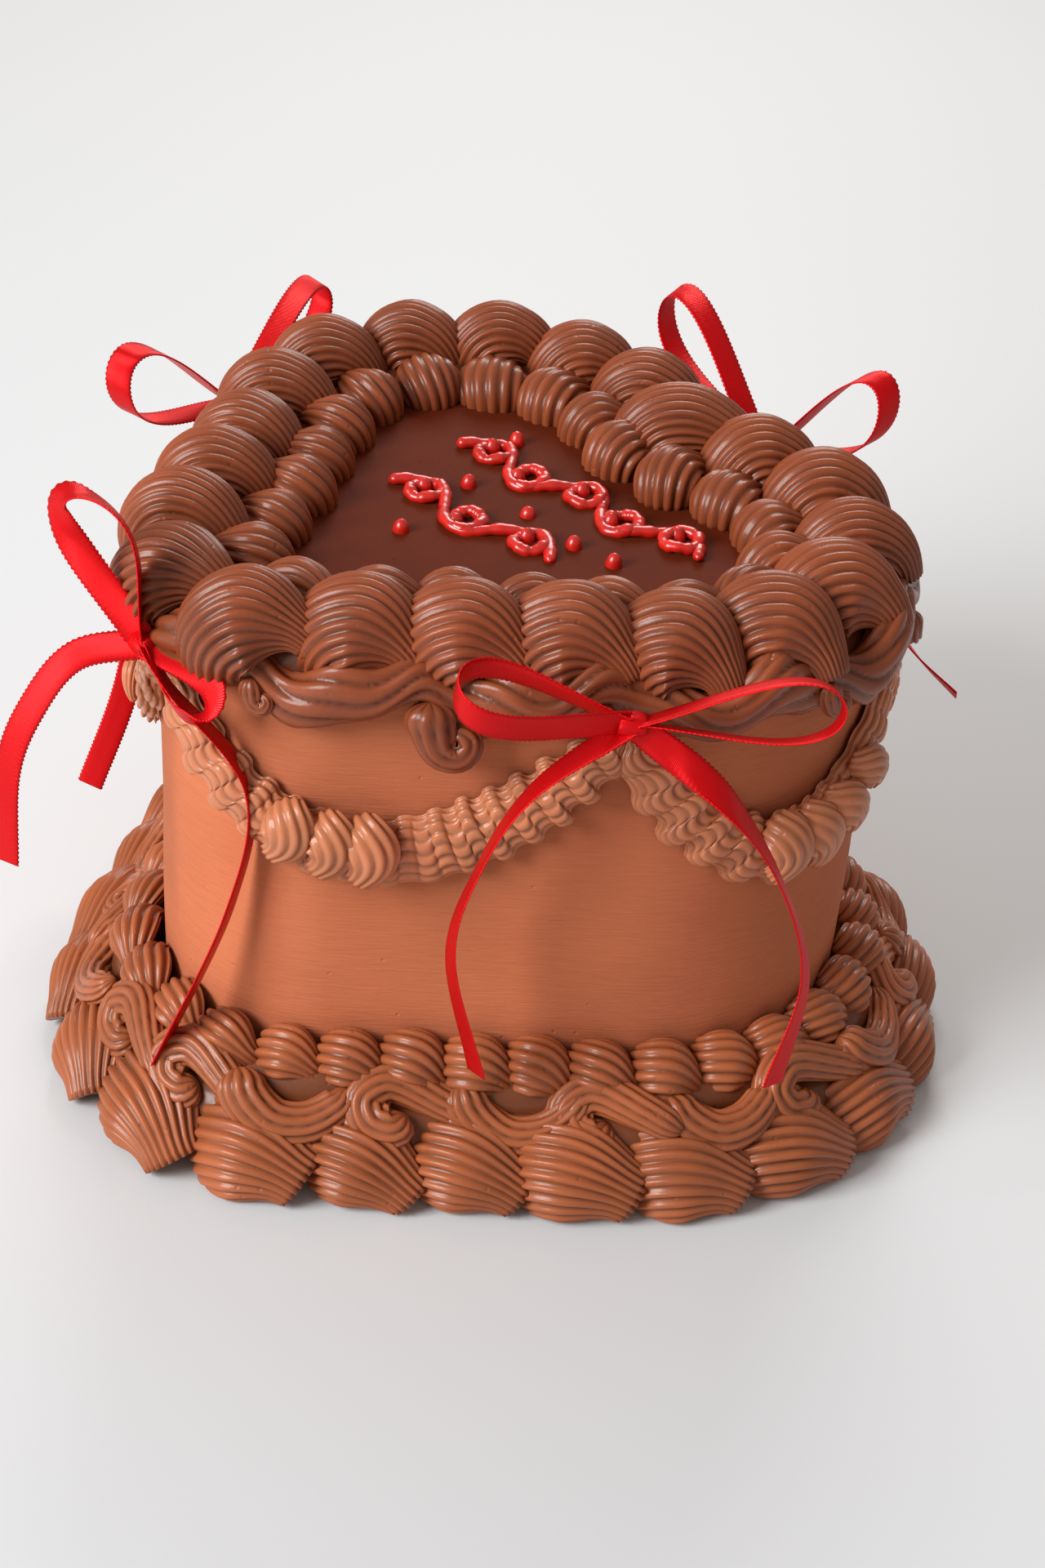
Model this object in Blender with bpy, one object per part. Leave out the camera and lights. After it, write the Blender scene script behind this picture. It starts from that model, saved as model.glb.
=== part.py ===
"""A heart-shaped layer cake with piped chocolate buttercream borders, swags and satin ribbon bows.

Metres, +Z up. The heart's point looks along -Y and its notch along +Y. The origin is in the middle of the
cake's flat bottom. A place on the wall is given by its station, which is 0 at the heart's point and runs
counter-clockwise to 1, by how far out it stands from the wall, and by its height.
"""

import math

import bmesh
import bpy
import numpy as np
from mathutils import Matrix

# The heart: two lobe circles, a rounded point, straight sides and a rounded notch.
LOBE_X = 0.030
LOBE_RADIUS = 0.0545
POINT_DEPTH = 0.060
POINT_RADIUS = 0.041
NOTCH_RADIUS = 0.020
CAKE_HEIGHT = 0.125
OUTLINE_POINTS = 72

# Piping. Every clearance between touching pieces is GAP.
GAP = 0.0003
OUTER_SHELLS = 21
INNER_SHELLS = 22
LOWER_SHELLS = 25
UPPER_SHELLS = 34
SCROLLS = 25
SWAG_ENDS = (-0.012, 0.190, 0.340, 0.497, 0.640, 0.778)
SWAG_MARGIN = 0.0060
SWAG_TOP = 0.1055
SWAG_DROP = 0.024
DRIP_HEIGHT = 0.1215
ROPE_SIDES = 6

# Ribbon bows.
RIBBON_WIDTH = 0.0068
RIBBON_THICKNESS = 0.0008

# The red piped flourish on the top. A row has its line's two ends, its loops' height and their count, and a
# curl has its centre, size, and first and last angles.
LINE_RADIUS = 0.0016
FLOURISH_ROWS = (
    ((-0.0300, 0.0230), (0.0330, 0.0325), 0.0054, 7),
    ((-0.0260, -0.0010), (0.0160, 0.0060), 0.0056, 5),
)
FLOURISH_CURLS = (
    (-0.0320, 0.0350, 0.0070, -2.8, 1.6),
    (-0.0160, 0.0330, 0.0050, -3.4, 0.6),
    (0.0400, 0.0270, 0.0055, 0.4, 4.6),
    (-0.0290, -0.0030, 0.0045, 0.9, 5.2),
    (0.0220, -0.0030, 0.0055, -3.4, 0.6),
)
FLOURISH_DROPS = ((-0.0080, 0.0115), (0.0040, 0.0140), (0.0200, 0.0120), (-0.0060, -0.0125), (0.0080, -0.0100))

ICING = (0.235, 0.085, 0.040)
SWAG_ICING = (0.300, 0.125, 0.062)
WALL_ICING = (0.300, 0.110, 0.055)
RED = (0.600, 0.010, 0.010)

# The bows, in millimetres along the wall, out of it and up from the knot. A loop is its reach, the side on
# which it opens, and the ways its width lies from start to end. A tail is its points and those ways.
MM = 0.001
KNOT_RADII = (0.0040, 0.0028, 0.0034)
BOWS = {
    "bow_point": (-0.012, 0.1190, 0.0125),
    "bow_right": (0.190, 0.1185, 0.0125),
    "bow_notch": (0.499, 0.1190, 0.0160),
    "bow_left": (0.778, 0.1190, 0.0125),
}
LOOPS = {
    "bow_point": (
        ((-12, 7, 29), (7.0, -3.0, 0.5), ((0.1, 0.9, 0.2), (0.5, 0.8, 0.2))),
        ((28, 5, 2), (0.0, -1.0, 8.5), ((0.1, 1.0, 0.5), (-0.1, 1.0, 0.1))),
    ),
    "bow_right": (
        ((-36, 9, 13), (0.5, -2.0, 6.5), ((0.35, 0.5, 0.8), (0.1, 0.9, 0.5), (-0.1, 1.0, 0.2))),
        ((41, 6, 10), (-1.0, 0.0, 8.0), ((0.0, 1.0, 0.15), (0.0, 1.0, 0.3))),
    ),
    "bow_notch": (
        ((36, 4, 25), (-3.0, 0.0, 8.0), ((0.1, 1.0, 0.4), (0.2, 0.9, 0.1))),
        ((-33, 13, 20), (2.0, 0.0, 8.0), ((-0.2, 1.0, 0.3), (0.0, 1.0, 0.2))),
    ),
    "bow_left": (
        ((34, 12, 18), (-2.0, 0.0, 8.0), ((0.1, 1.0, 0.3), (0.0, 1.0, 0.2))),
        ((-38, 4, 16), (2.0, 0.0, 8.0), ((-0.2, 1.0, 0.3), (-0.1, 1.0, 0.2))),
    ),
}
TAILS = {
    "bow_point": (
        (((-8, 12, -4), (-13, 20, -17), (-16, 25, -33), (-15, 27, -56)), ((0.5, 0.5, -0.7), (0.8, 0.3, -0.3), (1, 0.2, 0))),
        (((14, 4, -3), (31, 5, -19), (33, 6, -50), (23, 13, -93)), ((0.3, 1.0, -0.3), (0.2, 1.0, 0.0), (0.6, 0.8, 0.0))),
    ),
    "bow_right": (
        (((-19, 5, -14), (-29, 6, -33), (-33, 7, -54), (-27, 8, -81)), ((0.7, 0.4, -0.6), (0.3, 1.0, 0.0), (0.6, 0.8, 0.0))),
        (((20, 5, -14), (33, 7, -32), (41, 9, -58), (36, 11, -85)), ((0.7, -0.4, 0.6), (0.3, -1.0, 0.0), (0.8, -0.6, 0.2))),
    ),
    "bow_notch": (
        (((12, 6, -14), (20, 8, -38), (22, 9, -62), (18, 13, -86)), ((0.7, -0.4, 0.6), (0.4, -0.9, 0.0), (0.7, -0.6, 0.0))),
        (((-20, 9, -10), (-40, 9, -24), (-56, 8, -36), (-73, 11, -44)), ((-0.3, 1.0, 0.0), (-0.1, 1.0, 0.1), (-0.2, 1.0, 0.3))),
    ),
    "bow_left": (
        (((15, 5, -10), (28, 8, -36), (35, 12, -68), (42, 21, -95)), ((0.7, -0.4, 0.6), (0.8, -0.5, 0.2), (0.9, -0.4, 0.1))),
        (((-14, 5, -12), (-24, 8, -35), (-30, 9, -60), (-28, 13, -85)), ((0.7, 0.4, -0.6), (0.4, 0.9, 0.0), (0.7, 0.6, 0.0))),
    ),
}


def uneven(index, channel):
    """A fixed number from -1 to 1 that differs from piece to piece, as hand work does."""
    wave = math.sin(127.1 * index + 311.7 * channel) * 43758.5453
    return 2.0 * (wave - math.floor(wave)) - 1.0


def heart_parts():
    """The half outline's lengths and angles: point arc, straight side, lobe arc, notch arc."""
    reach = math.hypot(LOBE_X, POINT_DEPTH)
    side = math.atan2(POINT_DEPTH, LOBE_X) - math.pi / 2 - math.asin((LOBE_RADIUS - POINT_RADIUS) / reach)
    straight = math.sqrt(reach**2 - (LOBE_RADIUS - POINT_RADIUS) ** 2)
    notch_y = math.sqrt((LOBE_RADIUS + NOTCH_RADIUS) ** 2 - LOBE_X**2)
    meet = math.atan2(notch_y, -LOBE_X)
    lengths = np.array(
        [
            POINT_RADIUS * (side + math.pi / 2),
            straight,
            LOBE_RADIUS * (meet - side),
            NOTCH_RADIUS * (meet - math.pi / 2),
        ]
    )
    return side, meet, notch_y, lengths


SIDE_ANGLE, MEET_ANGLE, NOTCH_Y, HALF_LENGTHS = heart_parts()
HALF_WALL = float(HALF_LENGTHS.sum())
WALL_LENGTH = 2.0 * HALF_WALL
MIDDLE_Y = (LOBE_RADIUS - POINT_DEPTH - POINT_RADIUS) / 2


def heart(station):
    """Points and outward normals of the wall at stations. Each half is an arc, a line, an arc and an arc."""
    turn = np.mod(np.asarray(station, float), 1.0)
    left = turn > 0.5
    run = np.where(left, 1.0 - turn, turn) * WALL_LENGTH
    ends = np.cumsum(HALF_LENGTHS)
    point_angle = -np.pi / 2 + run / POINT_RADIUS
    lobe_angle = SIDE_ANGLE + (run - ends[1]) / LOBE_RADIUS
    notch_angle = MEET_ANGLE - (run - ends[2]) / NOTCH_RADIUS
    along = (run - ends[0]) / HALF_LENGTHS[1]
    angle = np.select(
        [run < ends[0], run < ends[1], run < ends[2]],
        [point_angle, np.full_like(run, SIDE_ANGLE), lobe_angle],
        notch_angle,
    )
    nx, ny = np.cos(angle), np.sin(angle)
    start_x, start_y = POINT_RADIUS * nx, -POINT_DEPTH + POINT_RADIUS * ny
    line_x = start_x + along * (LOBE_X + LOBE_RADIUS * nx - start_x)
    line_y = start_y + along * (LOBE_RADIUS * ny - start_y)
    x = np.select(
        [run < ends[0], run < ends[1], run < ends[2]],
        [start_x, line_x, LOBE_X + LOBE_RADIUS * nx],
        -NOTCH_RADIUS * nx,
    )
    y = np.select(
        [run < ends[0], run < ends[1], run < ends[2]],
        [start_y, line_y, LOBE_RADIUS * ny],
        NOTCH_Y - NOTCH_RADIUS * ny,
    )
    flip = np.where(left, -1.0, 1.0)
    return np.stack([x * flip, y - MIDDLE_Y], -1), np.stack([nx * flip, ny], -1)


def wall_place(station, out, height):
    """World points at stations on the wall, moved out along the normal. None crosses the heart's middle line."""
    point, normal = heart(station)
    station, out, height = np.broadcast_arrays(np.asarray(station, float), out, height)
    place = point + normal * out[..., None]
    sign = np.where(np.mod(station, 1.0) > 0.5, -1.0, 1.0)
    x = sign * np.maximum(place[..., 0] * sign, 0.0)
    return np.stack([x, place[..., 1], height], -1)


def even_stations(out, count, phase):
    """Stations that stand evenly along the outline at a distance out, the first one shifted by phase steps."""
    fine = np.linspace(0.0, 1.0, 2001)
    ring = wall_place(fine, out, 0.0)
    run = np.concatenate([[0.0], np.cumsum(np.linalg.norm(np.diff(ring, axis=0), axis=1))])
    return np.interp(np.mod((np.arange(count) + phase) / count, 1.0) * run[-1], run, fine), run[-1] / count


def seat(local, station, out, height, roll):
    """Local points (along, across, up) set on the wall, with up rolled outwards from +Z by the angle roll."""
    origin = wall_place(station, out, height)
    _, normal = heart(station)
    along = np.array([-normal[1], normal[0], 0.0])
    outward = np.array([normal[0], normal[1], 0.0])
    up = math.cos(roll) * np.array([0.0, 0.0, 1.0]) + math.sin(roll) * outward
    across = math.cos(roll) * outward - math.sin(roll) * np.array([0.0, 0.0, 1.0])
    return origin + local[..., :1] * along + local[..., 1:2] * across + local[..., 2:] * up


def shell_rings(length, width, height, ridges, rings, depth, sweep):
    """A piped shell: paste that rises, folds over and tapers to a tail. Ridges run from its head to its tail.

    The middle line goes up a quarter ellipse and then down to the tail. The section across it is a dome with
    pointed ridges, thin on the side that faces the bend.
    """
    turn_share = 0.42
    step = np.linspace(0.0, 1.0, rings)[:, None]
    bend = np.clip(step / turn_share, 0.0, 1.0) * np.pi / 2
    tail = np.clip((step - turn_share) / (1.0 - turn_share), 0.0, 1.0)
    rise = 0.30 * height
    crown = height - rise
    head = -0.52 * length + rise + crown
    middle_along = head - rise * np.cos(bend) + tail * (0.78 * length - head)
    middle_up = rise * np.sin(bend) * (1.0 - 0.8 * tail**2)
    middle_across = sweep * (tail**1.5 - 0.55 * np.sin(np.pi * np.clip(step / 0.8, 0.0, 1.0)))
    tilt = np.pi / 2 - bend + 0.30 * tail
    taper = 1.0 - 0.62 * tail**1.2
    angle = (np.arange(2 * ridges) / (2 * ridges) * 2.0 * np.pi)[None, :]
    ridge = 1.0 - depth * (np.arange(2 * ridges) % 2)[None, :]
    half_width = 0.5 * width * (0.78 + 0.22 * np.sin(bend)) * taper
    toward = np.where(np.cos(angle) > 0.0, crown * taper, 0.8 * rise * np.ones_like(tail)) * np.cos(angle) * ridge
    across = middle_across + half_width * np.sin(angle) * ridge
    along = middle_along - np.cos(np.pi / 2 - tilt) * toward
    up = middle_up + np.sin(np.pi / 2 - tilt) * toward
    return np.stack([along, across, up], -1)


def rope_rings(path, radius, sides):
    """Rings round a path: each lies across the path, its first axis kept level."""
    tangent = np.gradient(path, axis=0)
    tangent /= np.linalg.norm(tangent, axis=1)[:, None]
    first = np.cross(tangent, (0.0, 0.0, 1.0))
    first /= np.linalg.norm(first, axis=1)[:, None]
    second = np.cross(first, tangent)
    angle = np.arange(sides) / sides * 2.0 * np.pi
    radius = np.broadcast_to(radius, len(path))[:, None, None]
    return path[:, None] + radius * (
        np.cos(angle)[None, :, None] * first[:, None] + np.sin(angle)[None, :, None] * second[:, None]
    )


def hoop_rings(path, wide, tall, sides):
    """Rings round a path that closes on itself: wide across the wall and tall along it."""
    tangent = np.roll(path, -1, 0) - np.roll(path, 1, 0)
    tangent /= np.linalg.norm(tangent, axis=1)[:, None]
    side = np.cross(tangent, (0.0, 0.0, 1.0))
    upward = np.cross(side, tangent)
    angle = np.arange(sides) / sides * 2.0 * np.pi
    return (
        path[:, None]
        + wide * np.cos(angle)[None, :, None] * side[:, None]
        + tall * np.sin(angle)[None, :, None] * upward[:, None]
    )


def strip_rings(path, across, width, thickness):
    """Rings of four points: a ribbon along a path, whose width lies along across."""
    tangent = np.gradient(path, axis=0)
    across = across - tangent * (across * tangent).sum(1)[:, None] / (tangent**2).sum(1)[:, None]
    across /= np.linalg.norm(across, axis=1)[:, None]
    face = np.cross(tangent, across)
    face /= np.linalg.norm(face, axis=1)[:, None]
    half_wide, half_thick = across * width / 2, face * thickness / 2
    corners = [half_wide + half_thick, half_thick - half_wide, -half_wide - half_thick, half_wide - half_thick]
    return np.stack([path + corner for corner in corners], 1)


def spline(points, count):
    """A smooth curve through points (Catmull-Rom), with points at even steps of its parameter."""
    points = np.asarray(points, float)
    padded = np.concatenate([[2 * points[0] - points[1]], points, [2 * points[-1] - points[-2]]])
    where = np.linspace(0.0, len(points) - 1.0, count)
    leg = np.minimum(where.astype(int), len(points) - 2)
    t = (where - leg)[:, None]
    a, b, c, d = (padded[leg + i] for i in range(4))
    return 0.5 * (2 * b + (c - a) * t + (2 * a - 5 * b + 4 * c - d) * t**2 + (3 * b - a - 3 * c + d) * t**3)


def material(name, colour, roughness):
    """A Principled material of one colour."""
    made = bpy.data.materials.new(name)
    made.use_nodes = True
    shader = made.node_tree.nodes["Principled BSDF"]
    shader.inputs["Base Color"].default_value = (*colour, 1.0)
    shader.inputs["Roughness"].default_value = roughness
    shader.inputs["Metallic"].default_value = 0.0
    return made


def loft(name, rings, collection, hoop=False):
    """A solid through a stack of rings of equal count: its two ends are filled, or joined in a hoop."""
    around = rings.shape[1]
    mesh = bpy.data.meshes.new(name)
    work = bmesh.new()
    grid = [[work.verts.new(point) for point in ring] for ring in rings]
    if hoop:
        grid.append(grid[0])
    for lower, upper in zip(grid[:-1], grid[1:]):
        for i in range(around):
            j = (i + 1) % around
            work.faces.new((lower[i], lower[j], upper[j], upper[i]))
    if not hoop:
        work.faces.new(grid[0][::-1])
        work.faces.new(grid[-1])
    bmesh.ops.recalc_face_normals(work, faces=work.faces)
    if work.calc_volume(signed=True) < 0.0:
        bmesh.ops.reverse_faces(work, faces=work.faces)
    work.to_mesh(mesh)
    work.free()
    made = bpy.data.objects.new(name, mesh)
    collection.objects.link(made)
    return made


def heart_prism(name, out, low, high, collection):
    """The heart outline as a flat 2D curve with thickness, made a mesh."""
    curve = bpy.data.curves.new(name + "_outline", "CURVE")
    curve.dimensions = "2D"
    curve.fill_mode = "BOTH"
    curve.extrude = (high - low) / 2
    line = curve.splines.new("POLY")
    line.points.add(OUTLINE_POINTS - 1)
    stations, _ = even_stations(out, OUTLINE_POINTS, 0.0)
    for point, place in zip(line.points, wall_place(stations, out, 0.0)):
        point.co = (*place, 1.0)
    line.use_cyclic_u = True
    source = bpy.data.objects.new(name + "_outline", curve)
    source.location.z = (high + low) / 2
    collection.objects.link(source)
    bpy.context.view_layer.update()
    evaluated = source.evaluated_get(bpy.context.evaluated_depsgraph_get())
    mesh = bpy.data.meshes.new_from_object(evaluated)
    mesh.transform(source.matrix_world)
    bpy.data.objects.remove(source)
    work = bmesh.new()
    work.from_mesh(mesh)
    bmesh.ops.remove_doubles(work, verts=work.verts, dist=0.00001)
    bmesh.ops.recalc_face_normals(work, faces=work.faces)
    work.to_mesh(mesh)
    work.free()
    made = bpy.data.objects.new(name, mesh)
    collection.objects.link(made)
    return made


def apply_boolean(target, operation, collection=None, cutter=None, solver="MANIFOLD"):
    """One Boolean, applied. EXACT takes minutes on the many crossing shells, and suits the ribbons better."""
    change = target.modifiers.new("join", "BOOLEAN")
    change.operation = operation
    change.solver = solver
    if solver == "EXACT":
        change.use_self = True
    if collection:
        change.operand_type = "COLLECTION"
        change.collection = collection
    else:
        change.object = cutter
    bpy.context.view_layer.update()
    evaluated = target.evaluated_get(bpy.context.evaluated_depsgraph_get())
    mesh = bpy.data.meshes.new_from_object(evaluated)
    target.modifiers.clear()
    target.data = mesh


def keep_largest(target):
    """Drops loose scraps and the walls of sealed hollows: only the island with the most faces stays.

    An edge with four faces is where two islands only touch, so it isn't crossed.
    """
    work = bmesh.new()
    work.from_mesh(target.data)
    seen, islands = set(), []
    for face in work.faces:
        if face in seen:
            continue
        stack, island = [face], []
        seen.add(face)
        while stack:
            here = stack.pop()
            island.append(here)
            for edge in here.edges:
                if len(edge.link_faces) != 2:
                    continue
                for other in edge.link_faces:
                    if other not in seen:
                        seen.add(other)
                        stack.append(other)
        islands.append(island)
    islands.sort(key=len)
    for island in islands[:-1]:
        bmesh.ops.delete(work, geom=island, context="FACES")
    loose = [vert for vert in work.verts if not vert.link_faces]
    bmesh.ops.delete(work, geom=loose, context="VERTS")
    bmesh.ops.triangulate(work, faces=work.faces)
    work.to_mesh(target.data)
    work.free()


def fuse(target, pieces, solver="MANIFOLD"):
    """Joins the pieces' collection to the target with one union, and removes its objects."""
    apply_boolean(target, "UNION", collection=pieces, solver=solver)
    for piece in list(pieces.objects):
        bpy.data.objects.remove(piece)
    bpy.data.collections.remove(pieces)


def pieces_collection(name):
    """A collection for pieces that are about to be fused."""
    made = bpy.data.collections.new(name)
    bpy.context.scene.collection.children.link(made)
    return made


def add_shell_row(pieces, name, count, phase, out, height, size, roll, ridges, rings, sweep, depth=0.16):
    """A row of shells round the heart, each a little different, heads first in the direction of the stations."""
    stations, pitch = even_stations(out, count, phase)
    width, tall = size
    for i, station in enumerate(stations):
        place = station + 0.05 * pitch * uneven(i, 1) / WALL_LENGTH
        long = pitch * (1.0 + 0.05 * uneven(i, 2))
        shape = shell_rings(
            long, width * (1.0 + 0.08 * uneven(i, 3)), tall * (1.0 + 0.07 * uneven(i, 4)), ridges, rings, depth, sweep
        )
        lean = roll + math.radians(5.0) * uneven(i, 5)
        loft(f"{name}_{i}", seat(shape, place, out, height, lean), pieces)


def ring_core(name, out, height, radius, collection):
    """A plain ring of icing inside a row, which carries its shells. It follows the heart."""
    stations, _ = even_stations(out, 44, 0.0)
    return loft(name, hoop_rings(wall_place(stations, out, height), radius, radius, 5), collection, hoop=True)


def flourish_strokes():
    """The red flourish: two rows of linked waves with curls at their ends, in metres on the cake's top.

    Each row is a wave along its line: loops of one height, leaning back. Its line rises to the right.
    """
    strokes = []
    for start, end, size, loops in FLOURISH_ROWS:
        turn = np.linspace(0.0, 2.0 * np.pi * loops, 6 * loops + 1)
        share = turn / turn[-1]
        size = size * (1.0 + 0.16 * np.sin(1.7 * turn / np.pi))
        x = start[0] + (end[0] - start[0]) * share - 0.72 * size * np.sin(turn)
        y = start[1] + (end[1] - start[1]) * share - size * np.cos(turn)
        strokes.append(np.stack([x, y], -1))
    for cx, cy, size, first, last in FLOURISH_CURLS:
        angle = np.linspace(first, last, 7)
        radius = size * np.linspace(1.0, 0.55, 7)
        strokes.append(np.stack([cx + radius * np.cos(angle), cy + radius * np.sin(angle)], -1))
    return strokes


def make_body(cake):
    """The cake itself: one uncut solid with its red piping fused on."""
    body = heart_prism("cake_body", 0.0, 0.0, CAKE_HEIGHT, cake)
    pieces = pieces_collection("red_pieces")
    for i, stroke in enumerate(flourish_strokes()):
        path = np.concatenate([stroke, np.full((len(stroke), 1), CAKE_HEIGHT + 0.5 * LINE_RADIUS)], 1)
        path[:, 2] += 0.0004 * (np.arange(len(path)) % 2)
        loft(f"stroke_{i}", rope_rings(path, LINE_RADIUS, 4), pieces)
    for i, (x, y) in enumerate(FLOURISH_DROPS):
        made = bpy.data.meshes.new(f"drop_{i}")
        work = bmesh.new()
        bmesh.ops.create_icosphere(work, subdivisions=1, radius=1.3 * LINE_RADIUS)
        bmesh.ops.translate(work, verts=work.verts, vec=(x, y, CAKE_HEIGHT + 0.4 * LINE_RADIUS))
        work.to_mesh(made)
        work.free()
        pieces.objects.link(bpy.data.objects.new(f"drop_{i}", made))
    fuse(body, pieces)
    keep_largest(body)
    return body


def make_top_border(cake, cutters):
    """The big shells along the edge, the small shells inside them, and the ruffle that hangs below."""
    border = ring_core("top_border", -0.009, CAKE_HEIGHT + 0.0035, 0.0058, cake)
    pieces = pieces_collection("top_pieces")
    add_shell_row(
        pieces, "outer", OUTER_SHELLS, 0.62, -0.0085, CAKE_HEIGHT - 0.0005,
        (0.0265, 0.0175), math.radians(14.0), 4, 4, 0.0045,
    )
    add_shell_row(
        pieces, "inner", INNER_SHELLS, 0.40, -0.0245, CAKE_HEIGHT - 0.0010,
        (0.0145, 0.0110), math.radians(-16.0), 3, 3, -0.0015,
    )
    stations = np.arange(65) / 65
    wave = 2.0 * np.pi * stations * 13.0
    path = wall_place(stations, 0.0022 + 0.0010 * np.cos(wave), DRIP_HEIGHT + 0.0022 * np.sin(wave))
    loft("ruffle", hoop_rings(path, 0.0052, 0.0066, 4), pieces, hoop=True)
    fuse(border, pieces)
    cutter = heart_prism("top_cutter", GAP, -0.01, CAKE_HEIGHT + GAP, cutters)
    apply_boolean(border, "DIFFERENCE", cutter=cutter)
    keep_largest(border)
    return border


def scroll_path(length, kind):
    """A scroll's middle line, along and up: a small curl and a sweep, or a hanging U."""
    if kind == 0:
        points = ((0.10, -0.06), (0.02, -0.16), (-0.16, -0.12), (-0.20, 0.10), (0.05, 0.20), (0.45, 0.02), (0.80, -0.12))
    else:
        points = ((-0.20, 0.16), (-0.12, -0.06), (0.12, -0.20), (0.40, -0.14), (0.62, 0.06), (0.70, 0.20))
    return spline(np.array(points) * length, 5)


def make_base_border(cake, cutters):
    """The base border: big shells on the board, scrolls laid over them, and small shells against the wall."""
    border = ring_core("base_border", 0.0090, 0.0090, 0.0086, cake)
    pieces = pieces_collection("base_pieces")
    add_shell_row(
        pieces, "lower", LOWER_SHELLS, 0.45, 0.0125, 0.0035,
        (0.0235, 0.0170), math.radians(48.0), 4, 4, 0.0,
    )
    add_shell_row(
        pieces, "upper", UPPER_SHELLS, 0.30, 0.0030, 0.0275,
        (0.0130, 0.0100), math.radians(58.0), 3, 3, 0.0,
    )
    stations, pitch = even_stations(0.0125, SCROLLS, 0.70)
    for i, station in enumerate(stations):
        flat = scroll_path(pitch, i % 2)
        lift = 0.0008 * np.sin(np.arange(len(flat)))
        local = np.stack([flat[:, 0], -flat[:, 1], lift], -1)
        path = seat(local, station, 0.0125, 0.0195, math.radians(52.0))
        taper = 0.0042 * (1.0 - 0.35 * np.linspace(0.0, 1.0, len(path)) ** 2)
        loft(f"scroll_{i}", rope_rings(path, taper, 3), pieces)
    fuse(border, pieces)
    cutter = heart_prism("base_cutter", GAP, -0.02, CAKE_HEIGHT, cutters)
    apply_boolean(border, "DIFFERENCE", cutter=cutter)
    floor = bpy.data.meshes.new("floor_cutter")
    work = bmesh.new()
    bmesh.ops.create_cube(work, size=0.4)
    bmesh.ops.translate(work, verts=work.verts, vec=(0.0, 0.0, -0.2))
    work.to_mesh(floor)
    work.free()
    under = bpy.data.objects.new("floor_cutter", floor)
    cutters.objects.link(under)
    apply_boolean(border, "DIFFERENCE", cutter=under)
    keep_largest(border)
    return border


def make_swag(number, first, last, cake, cutters):
    """One hanging swag of ruffled icing: a rope on a sagging line, with a hump at each turn of the ruffle."""
    humps = max(9, round((last - first) * WALL_LENGTH / 0.0100))
    count = 2 * humps + 1
    share = np.linspace(0.0, 1.0, count)
    margin = SWAG_MARGIN / WALL_LENGTH
    station = first + margin + (last - first - 2.0 * margin) * share
    sag = 4.0 * share * (1.0 - share)
    height = SWAG_TOP - SWAG_DROP * sag
    radius = (0.0042 + 0.0036 * sag) * (1.0 + 0.16 * (np.arange(count) % 2))
    path = wall_place(station, 0.0012, height)
    _, normal = heart(station)
    outward = np.concatenate([normal, np.zeros((count, 1))], 1)
    tangent = np.gradient(path, axis=0)
    tangent /= np.linalg.norm(tangent, axis=1)[:, None]
    across = np.cross(tangent, outward)
    angle = np.arange(ROPE_SIDES) / ROPE_SIDES * 2.0 * np.pi
    skew = 0.35 * (radius * sag)[:, None, None] * np.sin(angle)[None, :, None] * tangent[:, None]
    rings = (
        path[:, None]
        + 0.95 * radius[:, None, None] * np.cos(angle)[None, :, None] * outward[:, None]
        + 1.25 * radius[:, None, None] * np.sin(angle)[None, :, None] * across[:, None]
        + skew
    )
    swag = loft(f"swag_{number}", rings, cake)
    cutter = heart_prism(f"swag_cutter_{number}", GAP, -0.02, CAKE_HEIGHT, cutters)
    apply_boolean(swag, "DIFFERENCE", cutter=cutter)
    keep_largest(swag)
    return swag


def loop_path(reach, side, count):
    """A ribbon loop: a teardrop from the knot along reach and back, opened by side on its way."""
    turn = np.linspace(0.005, 0.995, count)[:, None]
    return np.sin(np.pi * turn) ** 0.8 * np.array(reach) + np.sin(2.0 * np.pi * turn) * np.array(side)


def frame_matrix(origin, basis):
    """A 4 by 4 matrix from an origin and three axes, as a mesh's transform takes it."""
    rows = np.eye(4)
    rows[:3, :3] = basis.T
    rows[:3, 3] = origin
    return Matrix([list(row) for row in rows])


def make_bow(name, station, height, out, loops, tails, cake):
    """A tied ribbon bow: two loops, two tails and a knot, fused into one solid."""
    origin = wall_place(station, out, height)
    _, normal = heart(station)
    basis = np.array([[-normal[1], normal[0], 0.0], [normal[0], normal[1], 0.0], [0.0, 0.0, 1.0]])
    knot_mesh = bpy.data.meshes.new(name)
    work = bmesh.new()
    bmesh.ops.create_uvsphere(work, u_segments=7, v_segments=5, radius=1.0)
    bmesh.ops.scale(work, verts=work.verts, vec=KNOT_RADII)
    work.to_mesh(knot_mesh)
    work.free()
    knot_mesh.transform(frame_matrix(origin, basis))
    knot = bpy.data.objects.new(name, knot_mesh)
    cake.objects.link(knot)
    pieces = pieces_collection(name + "_pieces")
    strips = [(loop_path(reach, side, 10), faces) for reach, side, faces in loops]
    strips += [(spline(((0.0, 0.0, 0.0), *points), 8), faces) for points, faces in tails]
    for i, (path, faces) in enumerate(strips):
        across = spline(faces, len(path)) @ basis
        apart = np.array([0.00015, 0.00009, -0.00012]) * i
        rings = strip_rings(origin + apart + MM * path @ basis, across, RIBBON_WIDTH, RIBBON_THICKNESS)
        loft(f"{name}_strip_{i}", rings, pieces)
    fuse(knot, pieces, "EXACT")
    keep_largest(knot)
    return knot


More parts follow.
